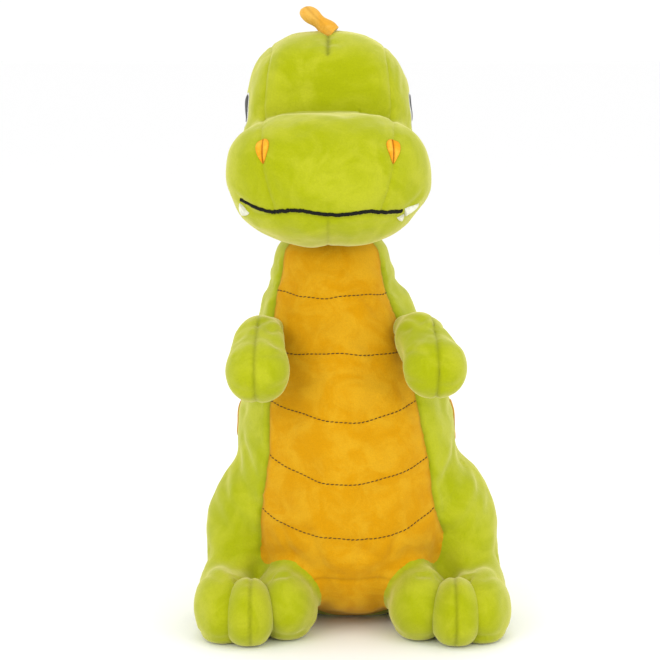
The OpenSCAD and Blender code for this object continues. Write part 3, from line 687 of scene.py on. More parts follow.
# ---- torso and legs ----
torsoSetup = {
    # height, sideways place, half width, depth in front, depth behind
    "rows": [
        [-6, 0, 30, 10, 36], [3, 0, 40, 24, 46], [12, 0, 52, 44, 57], [24, 0, 65, 60, 68],
        [46, -1, 77, 71, 76], [80, -2, 86, 77, 79], [120, -3, 86.5, 77, 78],
        [160, -4.5, 82, 74, 73.6], [200, -7.5, 71.5, 65, 63.2], [230, -11, 61, 55, 54],
        [245, -13, 55, 51, 51], [256, -15, 49.5, 48.7, 48.7], [300, -15, 48.5, 48.5, 48.5],
    ],
    # height, middle and half width of the belly panel
    "belly": [[-20, 0, 40], [3, 0, 44], [20, 0, 56], [40, 0, 68], [65, 0.5, 70],
        [90, -3, 67], [128, -3, 62.5], [177, -7, 56], [225, -11, 50], [262, -16.5, 42],
        [320, -17, 38]],
    "baseSeam": 42, "step": 2.5,
}
legSetup = {
    "out": 72, "soft": 9,
    "thigh": ((76.5, 0, 78), (32, 44, (54, 46))),
    "shin": ((84, -2, 72), (91, -32, 36), 25, 23),
    "outerLobe": ((94.5, -61, 22), (23.5, 43, (30, 30))),
    "innerLobe": ((48.5, -60, 24), (24.5, 40, (29, 30))),
    "heel": ((78, 2, 25), (34, 44, (26, 28))),
    "ankle": 50,
}


def torsoField(x, y, z):
    cx, half, front, back = along(torsoSetup["rows"], z)
    u, v = (x - cx) / half, y / np.where(y < 0, front, back)
    k = np.maximum(np.sqrt(u * u + v * v), 0.25)
    loft = np.sqrt((x - cx) ** 2 + y * y) * (1 - 1 / k)
    top = ball(x, y, z, (neckX, 0, neckZ), neckRadius)
    return softMax(np.where(z > neckZ, top, loft), -z, 9)


def legField(x, y, z):
    s = legSetup
    a = np.abs(x)
    f = blob(a, y, z, *s["thigh"])
    f = softMin(f, limb(a, y, z, *s["shin"]), 14)
    foot = softMin(blob(a, y, z, *s["outerLobe"], 2.15), blob(a, y, z, *s["innerLobe"], 2.1), 3)
    foot = softMin(foot, blob(a, y, z, *s["heel"], 2.2), 12)
    f = softMin(f, foot, 7)
    return softMax(f, -z, 4)


def bodyField(x, y, z):
    return softMin(torsoField(x, y, z), legField(x, y, z), legSetup["soft"])


def bellyValue(p):
    middle, half = along(torsoSetup["belly"], p[:, 2])
    return np.abs(p[:, 0] - middle) - half + 4 * np.maximum(p[:, 1] + 24, 0)


body = makeForm(bodyField, (-122, -108, -2), (122, 84, 307), torsoSetup["step"])
p = body["points"]
legs, trunk, legLine = split(body, legField(*p.T) - torsoField(*p.T))
p = trunk["points"]
belly, sides, bellyLine = split(trunk, bellyValue(p))
cx = along(torsoSetup["rows"], sides["points"][:, 2])[0]
middleX = np.where(sides["points"][:, 1] > 0, sides["points"][:, 0] - cx,
    sides["points"][:, 0])
rightSide, leftSide, backLine = split(sides, middleX)
p = belly["points"]
baseZ = torsoSetup["baseSeam"] + 4 * (p[:, 0] / 60) ** 2
underside, belly, baseLine = split(belly, p[:, 2] - baseZ)
rightLeg, leftLeg, _ = split(legs, legs["points"][:, 0])
legParts = {}
for side, form in (("right", rightLeg), ("left", leftLeg)):
    p = form["points"]
    ankle = legSetup["ankle"] - 0.16 * (p[:, 1] + 60)
    foot, thigh, line = split(form, p[:, 2] - ankle)
    sole, foot, soleLine = split(foot, foot["points"][:, 2] - 3)
    legParts[side] = {"thigh": thigh, "foot": foot, "sole": sole, "ankle": line,
        "soleLine": soleLine}
print("torso cut into panels")

bodyFolds = [
    ((-20, -70, 50), (-34, -76, 84), 3.2, 1.0), ((2, -70, 52), (14, -76, 88), 3.4, 1.2),
    ((24, -70, 54), (36, -70, 82), 3, 1.1), ((-44, -66, 56), (-54, -60, 84), 3, 1.0),
    ((-2, -74, 70), (24, -74, 58), 3, 0.9), ((-60, -50, 96), (-30, -72, 92), 4, 0.8),
    ((-52, -56, 140), (10, -74, 146), 5, 0.8), ((-46, -50, 188), (12, -62, 194), 5, 0.9),
    ((-40, -50, 226), (10, -54, 232), 4.5, 0.7), ((20, -66, 136), (50, -56, 144), 4, 0.8),
    ((-34, -66, 176), (26, -68, 172), 5, 0.6), ((-50, -50, 120), (-20, -74, 126), 5, 0.7),
    ((-50, 56, 150), (30, 70, 162), 7, 1.2), ((-46, 50, 196), (30, 56, 202), 6, 1.2),
    ((-44, 66, 110), (40, 72, 116), 7, 1.0), ((-38, 40, 236), (16, 40, 240), 5, 1.3),
]
for s in (-1, 1):
    bodyFolds += [
        # from up and outside to the belly's lower corner
        ((s * 106, -4, 118), (s * 72, -60, 62), 6.5, 2.6),
        ((s * 99, -12, 132), (s * 72, -58, 84), 5.5, 2.2),
        ((s * 90, -20, 144), (s * 72, -56, 104), 5.0, 1.8),
        ((s * 110, -6, 96), (s * 84, -56, 60), 7.0, 2.2),
        ((s * 112, -20, 52), (s * 80, -70, 56), 6.0, 2.4),  # ankle
        ((s * 86, -74, 58), (s * 68, -78, 60), 4.0, 1.0),
        ((s * 74, -82, 66), (s * 74.5, -88, 52), 1.8, 1.8),  # short seam over the middle toe
        ((s * 66, -80, 60), (s * 44, -84, 58), 3.5, 1.6),
        ((s * 116, -50, 42), (s * 94, -86, 52), 3.6, 1.2),
        ((s * 106, 30, 100), (s * 92, 44, 50), 5, 1.6),
        ((s * 110, 20, 60), (s * 96, 40, 34), 5, 1.5),
        ((s * 78, -6, 226), (s * 60, -36, 206), 4, 1.6),
        ((s * 80, -10, 200), (s * 60, -44, 182), 4, 1.5),
        ((s * 84, 16, 176), (s * 78, -24, 158), 5, 1.2),
        ((s * 74, 40, 140), (s * 86, 4, 130), 5, 1.4),
    ]
bodySoft = {
    # each seam: its line, depth, width, pucker and painted shade
    "seams": [
        (bellyLine, 1.5, 2.6, 0.7, 0.4), (backLine, 1.4, 2.8, 0.7, 0.4),
        (baseLine, 0.6, 1.6, 0.5, 0.25), (legLine, 0.0, 1.0, 0.0, 0.0),
    ],
    "creases": layFolds(bodyField, bodyFolds), "lumps": 0.9,
    "keep": lambda p: np.clip(p[:, 2] / 6, 0, 1) * np.clip((neckZ + 26 - p[:, 2]) / 12, 0, 1),
}
held = np.concatenate([bellyLine, backLine, baseLine, body["points"][body["points"][:, 2] < 1],
    body["points"][body["points"][:, 2] > neckZ + 14]])
bodySoft["cloth"] = blowUp("torso", bodyField, (-122, -108, -2), (122, 84, 307), 6.5, held, 3.0)

pieces = {}
for name, form, material, node in (
    ("bellyPanel", belly, "bellyPlush", "belly_panel"),
    ("bellyUnderside", underside, "bellyPlush", "base_panel"),
    ("leftSidePanel", leftSide, "greenPlush", "left_side_panel"),
    ("rightSidePanel", rightSide, "greenPlush", "right_side_panel"),
):
    pieces[name] = sewnPanel(name, form, bodySoft, material, "torso", [node])
for side, parts in legParts.items():
    for name, form, nodes in (
        ("Thigh", parts["thigh"], [side + "_thigh_panel"]),
        ("Foot", parts["foot"],
            [side + "_foot_panel", side + "_inner_toe", side + "_outer_toe"]),
        ("Sole", parts["sole"], [side + "_sole"]),
    ):
        pieces[side + name] = sewnPanel(
            side + name, form, bodySoft, "greenPlush", "torso", nodes)
print("torso and legs sewn")

# ---- middle toes ----
toeSetup = {"x": 75.5, "y": -84, "z": 22, "size": (19.2, 26, (25, 26)), "step": 1.7}
for side, s in (("right", -1), ("left", 1)):
    c = (s * toeSetup["x"], toeSetup["y"], toeSetup["z"])

    def toeField(x, y, z, c=c):
        narrow = 1 - 0.1 * np.clip((z - c[2]) / 26, 0, 1)
        f = blob((x - c[0]) / narrow + c[0], y, z, c, toeSetup["size"], 2.2)
        return softMax(f, -z, 4)

    low = np.array(c) - 36
    toe = makeForm(toeField, low, np.array(c) + 36, toeSetup["step"])
    _, _, toeLine = split(toe, toe["points"][:, 0] - c[0] + 1.5 * s)
    toeLine = toeLine[toeLine[:, 2] > 2]
    # the seam's last number is its painted shade
    soft = {"seams": [(toeLine, 1.3, 1.7, 0.4, 0.45)], "creases": [], "lumps": 0.4,
        "cloth": None, "keep": lambda p: np.clip(p[:, 2] / 5, 0, 1)}
    pieces[side + "MiddleToe"] = closedPiece(
        side + "MiddleToe", toe, soft, "greenPlush", "torso", [side + "_middle_toe"])
print("toes made")

# ---- head ----
headSetup = {
    "top": ((headX, 6, 371), (60.5, 57, (60, 69.5)), 3.6), "taper": 0.0011,
    "muzzle": ((headX, -54, 336), (74.5, 54, 50)), "jaw": ((headX, 0, 336), (65, 58, 46)),
    "soft": 5, "step": 2.2,
    # height, how far the side seams stand from the middle
    "seam": [[260, 30], [300, 33], [314, 38], [350, 47], [400, 47], [440, 42], [460, 38]],
    # sideways from the middle, height of the mouth
    "mouth": [[-90, 320], [-66, 319.5], [-58, 315.5], [-50, 312.3], [-34, 313.5],
        [-20, 313.8], [2, 311], [32, 313.2], [45, 310.8], [58, 309], [68, 311], [90, 314]],
}


def crownField(x, y, z):
    centre, size, power = headSetup["top"]
    narrow = 1 - headSetup["taper"] * np.maximum(z - centre[2], 0)
    return blob((x - headX) / narrow + headX, y, z, centre, size, power)


def muzzleField(x, y, z):
    centre, size = headSetup["muzzle"]
    u = np.abs((x - centre[0]) / size[0])
    v = np.abs((y - centre[1]) / size[1])
    w = np.abs((z - centre[2]) / size[2])
    upper = ((u ** 2.3 + v ** 2.3) ** (2.8 / 2.3) + w ** 2.8) ** (1 / 2.8)
    lower = ((u ** 2.1 + v ** 2.1) ** (2 / 2.1) + w ** 2) ** 0.5
    t = np.clip((z - centre[2]) / 24 + 0.5, 0, 1)
    t = t * t * (3 - 2 * t)
    k = np.maximum(upper * t + lower * (1 - t), 0.25)
    reach = np.sqrt((x - centre[0]) ** 2 + (y - centre[1]) ** 2 + (z - centre[2]) ** 2)
    return reach * (1 - 1 / k)


def headField(x, y, z):
    jaw = blob(x, y, z, *headSetup["jaw"], 2.3)
    f = softMin(muzzleField(x, y, z), crownField(x, y, z), headSetup["soft"])
    f = softMin(f, jaw, 14)
    return softMax(f, -ball(x, y, z, (neckX, 0, neckZ), neckRadius + 0.9), 2.5)


def mouthValue(p):
    height, = along(headSetup["mouth"], p[:, 0] - headX)
    back = np.maximum(p[:, 1] + 70, 0)
    return p[:, 2] - height - 0.12 * back


head = makeForm(headField, (-96, -112, 280), (60, 68, 446), headSetup["step"])
chin, upperHead, mouthLine = split(head, mouthValue(head["points"]))
rightChin, leftChin, chinLine = split(chin, chin["points"][:, 0] - headX)
chinLine = chinLine[chinLine[:, 1] < -30]
p = upperHead["points"]
wide, = along(headSetup["seam"], p[:, 2])
strip, cheeks, sideLine = split(upperHead, np.abs(p[:, 0] - headX) - wide
    + 1000 * (p[:, 1] > 60))
rightCheek, leftCheek, napeLine = split(cheeks, cheeks["points"][:, 0] - headX)
p = strip["points"]
muzzleTop, forehead, bridgeLine = split(strip, muzzleField(*p.T) - crownField(*p.T)
    + 1000 * (p[:, 1] > -10))
neckRing = head["points"][np.abs(ball(*head["points"].T, (neckX, 0, neckZ), neckRadius)) < 3]
crownDart = np.array([[headX, -8 - 1.5 * i, 440 - 0.02 * i * i] for i in range(26)], float)
crownDart, _ = settle(headField, crownDart, 6)
headSoft = {
    # each seam: its line, depth, width, pucker and painted shade
    "seams": [
        (sideLine, 0.8, 1.8, 0.3, 0.12), (bridgeLine, 1.6, 3.2, 0.2, 0.25),
        (chinLine, 0.6, 1.6, 0.3, 0.25), (crownDart, 1.8, 2.0, 0.6, 0.8),
        (mouthLine[np.abs(mouthLine[:, 0] - headX + 6) < 56], 0.9, 2.2, 0.3, 0.15),
    ],
    "creases": layFolds(headField, [
        ((-82, -74, 330), (-70, -84, 316), 3, 0.9), ((48, -74, 330), (36, -84, 316), 3, 0.9),
        ((-50, -50, 396), (-10, -52, 402), 4, 0.6), ((-6, -48, 406), (24, -46, 410), 4, 0.6),
        ((-56, -48, 410), (-30, -50, 418), 4, 0.5), ((-40, -104, 344), (0, -106, 350), 6, 0.4),
        ((-34, -98, 300), (2, -98, 303), 5, 0.5), ((-60, 20, 380), (-70, 0, 350), 5, 0.8),
        ((34, 20, 380), (40, 0, 350), 5, 0.8), ((-50, 56, 340), (20, 60, 346), 7, 1.0),
    ]),
    "lumps": 0.6,
    "keep": lambda p: np.clip((ball(*p.T, (neckX, 0, neckZ), neckRadius) - 1.5) / 5, 0, 1),
}
held = np.concatenate([sideLine, bridgeLine, chinLine, mouthLine, neckRing])
headSoft["cloth"] = blowUp("head", headField, (-96, -112, 280), (60, 68, 446), 5.5, held, 2.0)
for name, form, node in (
    ("foreheadGusset", forehead, "forehead_gusset"), ("muzzleGusset", muzzleTop, "muzzle_gusset"),
    ("leftCheek", leftCheek, "left_cheek_panel"), ("rightCheek", rightCheek, "right_cheek_panel"),
    ("leftChin", leftChin, "left_chin_panel"), ("rightChin", rightChin, "right_chin_panel"),
):
    pieces[name] = sewnPanel(name, form, headSoft, "greenPlush", "head", [node])
print("head sewn")

# ---- arms ----
armSetup = {
    "root": 12.5, "upper": 19.5, "paw": 22.5, "length": 42, "tip": 5,
    "left": {"aim": (13, -41, -23)}, "right": {"aim": (-1, -41, -23)}, "step": 2.0,
}
for side, s in (("left", 1), ("right", -1)):
    pivot = jointSpot(side + "_shoulder") - spine
    aim = unit(np.array(armSetup[side]["aim"], float))
    wrist = pivot + aim * armSetup["length"]
    end = wrist + aim * armSetup["tip"]

    def armField(x, y, z, pivot=pivot, wrist=wrist, end=end, aim=aim):
        f = limb(x, y, z, pivot + aim * 13, wrist, armSetup["upper"], armSetup["paw"])
        f = softMin(f, ball(x, y, z, end, armSetup["paw"] - 1.5), 6)
        # the root runs on into the chest, where it is sewn in
        chest = pivot + unit(np.array([-math.copysign(8, pivot[0]), 10, 0])) * 11
        return softMin(f, limb(x, y, z, pivot, chest, armSetup["root"], 11), 10)

    low = np.minimum(pivot, end) - 27
    arm = makeForm(armField, low, np.maximum(pivot, end) + 27, armSetup["step"])
    p = arm["points"]
    bow = 2.5 * s * np.sin((p[:, 2] - 170) / 22)
    inner, outer, seamLine = split(arm, (p[:, 0] - wrist[0] - bow) * s)
    rootPoints = p[np.linalg.norm(p - pivot, axis=1) < armSetup["root"] + 1]
    soft = {
        # the seam's last number is its painted shade
        "seams": [(seamLine, 1.2, 1.9, 0.5, 0.4)], "lumps": 0.7,
        "creases": layFolds(armField, [
            (pivot + (s * -12, -10, 14), pivot + (s * 4, -26, 16), 3.4, 1.6),
            (pivot + (s * -18, -16, 4), pivot + (s * -8, -30, 10), 3.2, 1.2),
            (wrist + (s * -18, -6, 10), wrist + (s * -2, -20, 12), 3.2, 1.1),
            (wrist + (s * 4, -22, 6), wrist + (s * 18, -10, 12), 3.0, 1.0),
            (wrist + (s * 16, -12, -8), wrist + (s * 2, -20, -12), 3.2, 0.9),
            (wrist + (s * -18, -8, -6), wrist + (s * -6, -20, -10), 3.0, 0.9),
        ]),
        "keep": lambda p, pivot=pivot: np.clip(
            (np.linalg.norm(p - pivot, axis=1) - armSetup["root"] - 0.5) / 8, 0.1, 1),
    }
    soft["cloth"] = blowUp(side + "Arm", armField, low, np.maximum(pivot, end) + 27, 4.0,
        np.concatenate([seamLine, rootPoints]), 2.5)
    for name, form, node in (
        ("ArmOuter", outer, side + "_arm_outer_panel"),
        ("ArmInner", inner, side + "_arm_inner_panel"),
    ):
        pieces[side + name] = sewnPanel(side + name, form, soft, "greenPlush",
            side + "_arm", [node])
print("arms sewn")

# ---- tail: two skins running from the torso to the tail ----
tailSetup = {
    # place on the middle line, radius
    "rows": [(48, 50, 47), (80, 43, 39.5), (98, 36, 31), (120, 30, 26.5), (142, 22.5, 19),
        (160, 17, 13), (173, 13.5, 7.5)],
    "step": 2.6,
}


def tailField(x, y, z):
    rows = tailSetup["rows"]
    f = None
    for (ya, za, ra), (yb, zb, rb) in zip(rows[:-1], rows[1:]):
        g = limb(x, y, z, (0, ya, za), (0, yb, zb), ra, rb)
        f = g if f is None else softMin(f, g, 3)
    f = softMax(f, -z, 5)
    return softMax(f, -torsoField(x, y, z) + 0.6, 3)


tailLow, tailHigh = (-52, 20, -2), (52, 184, 96)
tail = makeForm(tailField, tailLow, tailHigh, tailSetup["step"])
rightTail, leftTail, tailLine = split(tail, tail["points"][:, 0])
tailLine = tailLine[torsoField(*tailLine.T) > 3]
tailEdge = tail["points"][torsoField(*tail["points"].T) < 2.5]
tailSoft = {
    # the seam's last number is its painted shade
    "seams": [(tailLine, 1.3, 2.4, 0.7, 0.4)], "lumps": 0.7,
    "creases": layFolds(tailField, [
        ((14, 92, 68), (38, 96, 30), 4, 1.4), ((-14, 92, 68), (-38, 96, 30), 4, 1.4),
        ((12, 110, 56), (30, 112, 24), 4, 1.2), ((-12, 110, 56), (-30, 112, 24), 4, 1.2),
        ((8, 146, 42), (18, 146, 20), 3.5, 0.8), ((-8, 146, 42), (-18, 146, 20), 3.5, 0.8),
    ]),
    "keep": lambda p: np.clip(p[:, 2] / 6, 0, 1) * np.clip((torsoField(*p.T) - 1) / 6, 0, 1),
}
tailSoft["cloth"] = blowUp("tail", tailField, tailLow, tailHigh, 6.0,
    np.concatenate([tailLine, tailEdge, tail["points"][tail["points"][:, 2] < 1]]), 3.0)
for name, form, nodes in (
    ("leftTailSkin", leftTail, ["left_tail_panel", "tail_root_panel"]),
    ("rightTailSkin", rightTail, ["right_tail_panel"]),
):
    pieces[name] = sewnPanel(name, form, tailSoft, "greenPlush", None, nodes)
    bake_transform(pieces[name])
print("tail sewn")


# ---- spikes: stuffed fins with a seam along the edge ----
def finPoints(size, rows=22, around=40, blunt=1.9, waist=0.0):
    # blunt rounds the tip; waist narrows the fin above its root
    tall, long, thick = size
    grid = []
    for i in range(rows + 1):
        h = math.sin(math.pi / 2 * i / rows) * 0.998
        pinch = 1 - waist * math.exp(-((h - 0.35) / 0.22) ** 2)
        wide = long / 2 * (1 - h ** blunt) ** 0.5 * pinch
        flat = thick / 2 * (1 - h ** (blunt + 0.7)) ** 0.5 * pinch
        c = np.arange(around) * 2 * math.pi / around
        lens = np.abs(np.cos(c)) ** 1.15 * np.sign(np.cos(c))
        edge = 1 + 0.04 * (np.abs(np.sin(c)) > 0.985)
        grid.append(np.stack([
            flat * lens + 0.35 * np.sign(lens), wide * np.sin(c) * edge + long * 0.1 * h * h,
            np.full(around, tall * h),
        ], 1))
    base = grid[0] * (1, 1, 0) + (0, 0, -4)
    grid = [base] + grid
    points = np.concatenate(grid + [grid[0].mean(0)[None], grid[-1].mean(0)[None]
        + (0, 0, 0.4)])
    tris = []
    n = len(grid)
    for r in range(n - 1):
        for c in range(around):
            d = (c + 1) % around
            i, j = r * around + c, r * around + d
            tris += [(i, j, j + around), (i, j + around, i + around)]
    for c in range(around):
        d = (c + 1) % around
        tris += [(d, c, n * around), ((n - 1) * around + c, (n - 1) * around + d, n * around + 1)]
    return points, np.array(tris)


def makeSpike(name, root, out, size, lean, body, node, curl=0.0, blunt=1.9, waist=0.0):
    points, tris = finPoints(size, blunt=blunt, waist=waist)
    tall = size[0]
    h = np.clip(points[:, 2] / tall, 0, 1)
    points[:, 0] += curl * h * h
    points += unit(points - (0, 0, tall * 0.4)) * (0.5 * lumps(points, 14, len(name)))[:, None]
    z = unit(np.asarray(out, float))
    x = unit(np.cross((0, 1, 0) if abs(z[1]) < 0.9 else (0, 0, 1), z))
    if abs(x[0]) > 0.5 and x[0] < 0:
        x = -x
    y = np.cross(z, x)
    turn = math.radians(lean)
    z2 = z * math.cos(turn) + x * math.sin(turn)
    x2 = x * math.cos(turn) - z * math.sin(turn)
    places = np.asarray(root) + points @ np.stack([x2, y, z2])
    # painted shade: the colour darkens along the fin's edge seam
    paintedShade = np.exp(-(points[:, 0] / 1.0) ** 2) * 0.35
    piece = makePiece(name, places, tris, materials["orangePlush"], body, [node],
        paintedShade)
    return piece


def backPoint(z):
    cx = along(torsoSetup["rows"], np.array([float(z)]))[0][0]
    return onForm(bodyField, bodySoft, [[cx, 66, z]])


spikeSetup = {
    "back": [(228, 23), (188, 27), (147, 27), (108, 25.6)], "long": 32, "thick": 9,
    "tail": [(131, 20, 20), (152, 16, 16)],
}
for i, (z, tall) in enumerate(spikeSetup["back"]):
    spot, out = backPoint(z)
    pieces["backSpike%d" % (i + 1)] = makeSpike(
        "backSpike%d" % (i + 1), spot[0], out[0], (tall, spikeSetup["long"], spikeSetup["thick"]),
        (3, -4, 5, -3)[i], "torso", "back_spike_%d" % (i + 1), (1, -1, 1.5, -1)[i])
for i, (y, tall, long) in enumerate(spikeSetup["tail"]):
    height, = along([(r[0], r[1] + r[2]) for r in tailSetup["rows"]], np.array([float(y)]))
    spot, out = onForm(tailField, tailSoft, [[0, y, height[0]]])
    pieces["tailSpike%d" % (i + 1)] = makeSpike(
        "tailSpike%d" % (i + 1), spot[0], out[0], (tall, long, 8), (4, -4)[i], "tail",
        "tail_spike_%d" % (i + 1))
spot, out = onForm(headField, headSoft, [[headX, 52, 410]])
pieces["rearCrest"] = makeSpike("rearCrest", spot[0], out[0], (27, 32, 9), 3, "head",
    "rear_crest_spike")
pieces["frontCrest"] = makeSpike("frontCrest", crestRoot - (0, 0, 1.5), (0, 0, 1),
    (24.5, 22, 13.5), -44, "crest", "front_crest_spike", -4.0, 3.6, 0.32)
print("spikes made")


# ---- patches laid on a form ----
def patch(name, field, soft, centre, across, sizes, height, material, body, nodes, shape=2.0,
        crown=0.6, groove=None, rings=10, around=40):
    base, n = settle(field, np.array([centre], float), 8)
    n = n[0]
    u = unit(np.asarray(across, float) - n * np.dot(across, n))
    v = np.cross(n, u)
    spots, radii, angles = [base[0]], [0.0], [0.0]
    for r in range(1, rings + 1):
        k = r / rings
        for c in range(around):
            t = 2 * math.pi * c / around
            cu = np.sign(math.cos(t)) * abs(math.cos(t)) ** (2 / shape)
            sv = np.sign(math.sin(t)) * abs(math.sin(t)) ** (2 / shape)
            pinch = 1 - sizes[2] * (1 - sv) / 2
            spots.append(base[0] + u * cu * k * sizes[0] * pinch + v * sv * k * sizes[1])
            radii.append(k)
            angles.append(t)
    flat = np.array(spots)
    laid, out = onForm(field, soft, flat)
    k = np.array(radii)
    rise = height * (0.45 + crown * np.sqrt(np.maximum(1 - k ** 3, 0)))
    if groove:
        rise -= groove * np.exp(-(((flat - base[0]) @ u) / 0.9) ** 2) * (k < 0.93)
    top, low = laid + out * rise[:, None], laid - out * 0.8
    count = len(laid)
    tris = []
    for c in range(around):
        d = (c + 1) % around
        tris.append((0, 1 + c, 1 + d))
        for r in range(rings - 1):
            a, b = 1 + r * around + c, 1 + r * around + d
            tris += [(a, a + around, b + around), (a, b + around, b)]
    upper = np.array(tris)
    rim = []
    for c in range(around):
        a, b = 1 + (rings - 1) * around + c, 1 + (rings - 1) * around + (c + 1) % around
        rim += [(a, a + count, b + count), (a, b + count, b)]
    every = np.concatenate([upper, upper[:, ::-1] + count, np.array(rim)])
    # painted shade: a dark band round the patch's rim, and along the nostril groove
    paintedShade = np.concatenate([np.exp(-((1 - k) / 0.12) ** 2) * 0.4] * 2)
    if groove:
        paintedShade[:count] = np.maximum(
            paintedShade[:count], 0.9 * np.exp(-(((flat - base[0]) @ u) / 0.8) ** 2))
    piece = makePiece(name, np.concatenate([top, low]), every, materials[material], body,
        nodes, paintedShade)
    return piece


spotSetup = {"height": 150, "radius": 15.5, "thick": 1.2}
for side, s in (("left", 1), ("right", -1)):
    patch(side + "FlankSpot", bodyField, bodySoft, (s * 86, 13, spotSetup["height"]), (0, 1, 0),
        (spotSetup["radius"], spotSetup["radius"], 0), spotSetup["thick"], "orangePlush",
        "torso", [side + "_flank_spot"], rings=12, around=48)
faceSetup = {
    "nostril": {"x": 47, "y": -96, "z": 359.5, "size": (7.8, 9.8, 0.75)},
    "eye": {"x": 60, "y": -7, "z": 384, "white": (9.5, 13, 0.0), "pupil": (7.0, 10.0, 0.0)},
}
for side, s in (("left", 1), ("right", -1)):
    n = faceSetup["nostril"]
    patch(side + "Nostril", headField, headSoft, (headX + s * n["x"], n["y"], n["z"]),
        (1, 0, 0), n["size"], 1.3, "nostrilFelt", "head", [side + "_nostril"], groove=1.0)
    e = faceSetup["eye"]
    spot = (headX + s * e["x"], e["y"], e["z"])
    patch(side + "Eye", headField, headSoft, spot, (0, 1, 0), e["white"], 0.55,
        "eyeWhiteFelt", "head", [side + "_eye"])
    spot = (headX + s * e["x"], e["y"] - 1.0, e["z"] + 1.5)
    patch(side + "Pupil", headField, headSoft, spot, (0, 1, 0), e["pupil"], 1.7,
        "eyeBlackThread", "head", [side + "_pupil"], crown=0.25)
print("patches laid")

# ---- teeth ----
toothSetup = {
    "leftTooth": ("left_tooth", (56, -84, 307), (58.5, -80, 300.5), 5.0),
    "leftUpperTooth": ("left_upper_tooth", (58, -82, 311), (64.5, -74, 320), 7.5),
    "rightTooth": ("right_tooth", (-64, -80, 314), (-69, -72, 305), 9.5),
}


def makeTooth(name, node, root, tip, wide):
    rootPoint = np.array([[headX + root[0], root[1], root[2]]], float)
    tipPoint = np.array([[headX + tip[0], tip[1], tip[2]]], float)
    rows, cols = 12, 15
    a, na = onForm(headField, headSoft, rootPoint)
    b, nb = onForm(headField, headSoft, tipPoint)
    way = unit(b[0] - a[0])
    across = unit(np.cross(na[0], way))
    flat, rises = [], []
    for r in range(rows):
        k = r / (rows - 1)
        half = wide / 2 * (1 - k ** 1.7) + 0.35
        for c in range(cols):
            e = 2 * c / (cols - 1) - 1
            flat.append(a[0] + (b[0] - a[0]) * k + across * half * e)
            rises.append(0.5 + 1.9 * (1 - abs(e) ** 2.5) * (1 - k ** 3) ** 0.5)
    laid, out = onForm(headField, headSoft, flat)
    top = laid + out * np.array(rises)[:, None]
    low = laid - out * 0.4
    count = len(laid)
    tris = []
    for r in range(rows - 1):
        for c in range(cols - 1):
            i = r * cols + c
            tris += [(i, i + 1, i + cols + 1), (i, i + cols + 1, i + cols)]
    tris = np.array(tris)
    p = laid[tris[0]]
    if np.dot(np.cross(p[1] - p[0], p[2] - p[0]), out[0]) < 0:
        tris = tris[:, ::-1]
    points, every = faceSheet({"points": top, "normals": (top - low), "tris": tris}, 1.0)
    return makePiece(name, points, every, materials["toothFelt"], "head", [node])


for name, (node, root, tip, wide) in toothSetup.items():
    makeTooth(name, node, root, tip, wide)
print("teeth made")


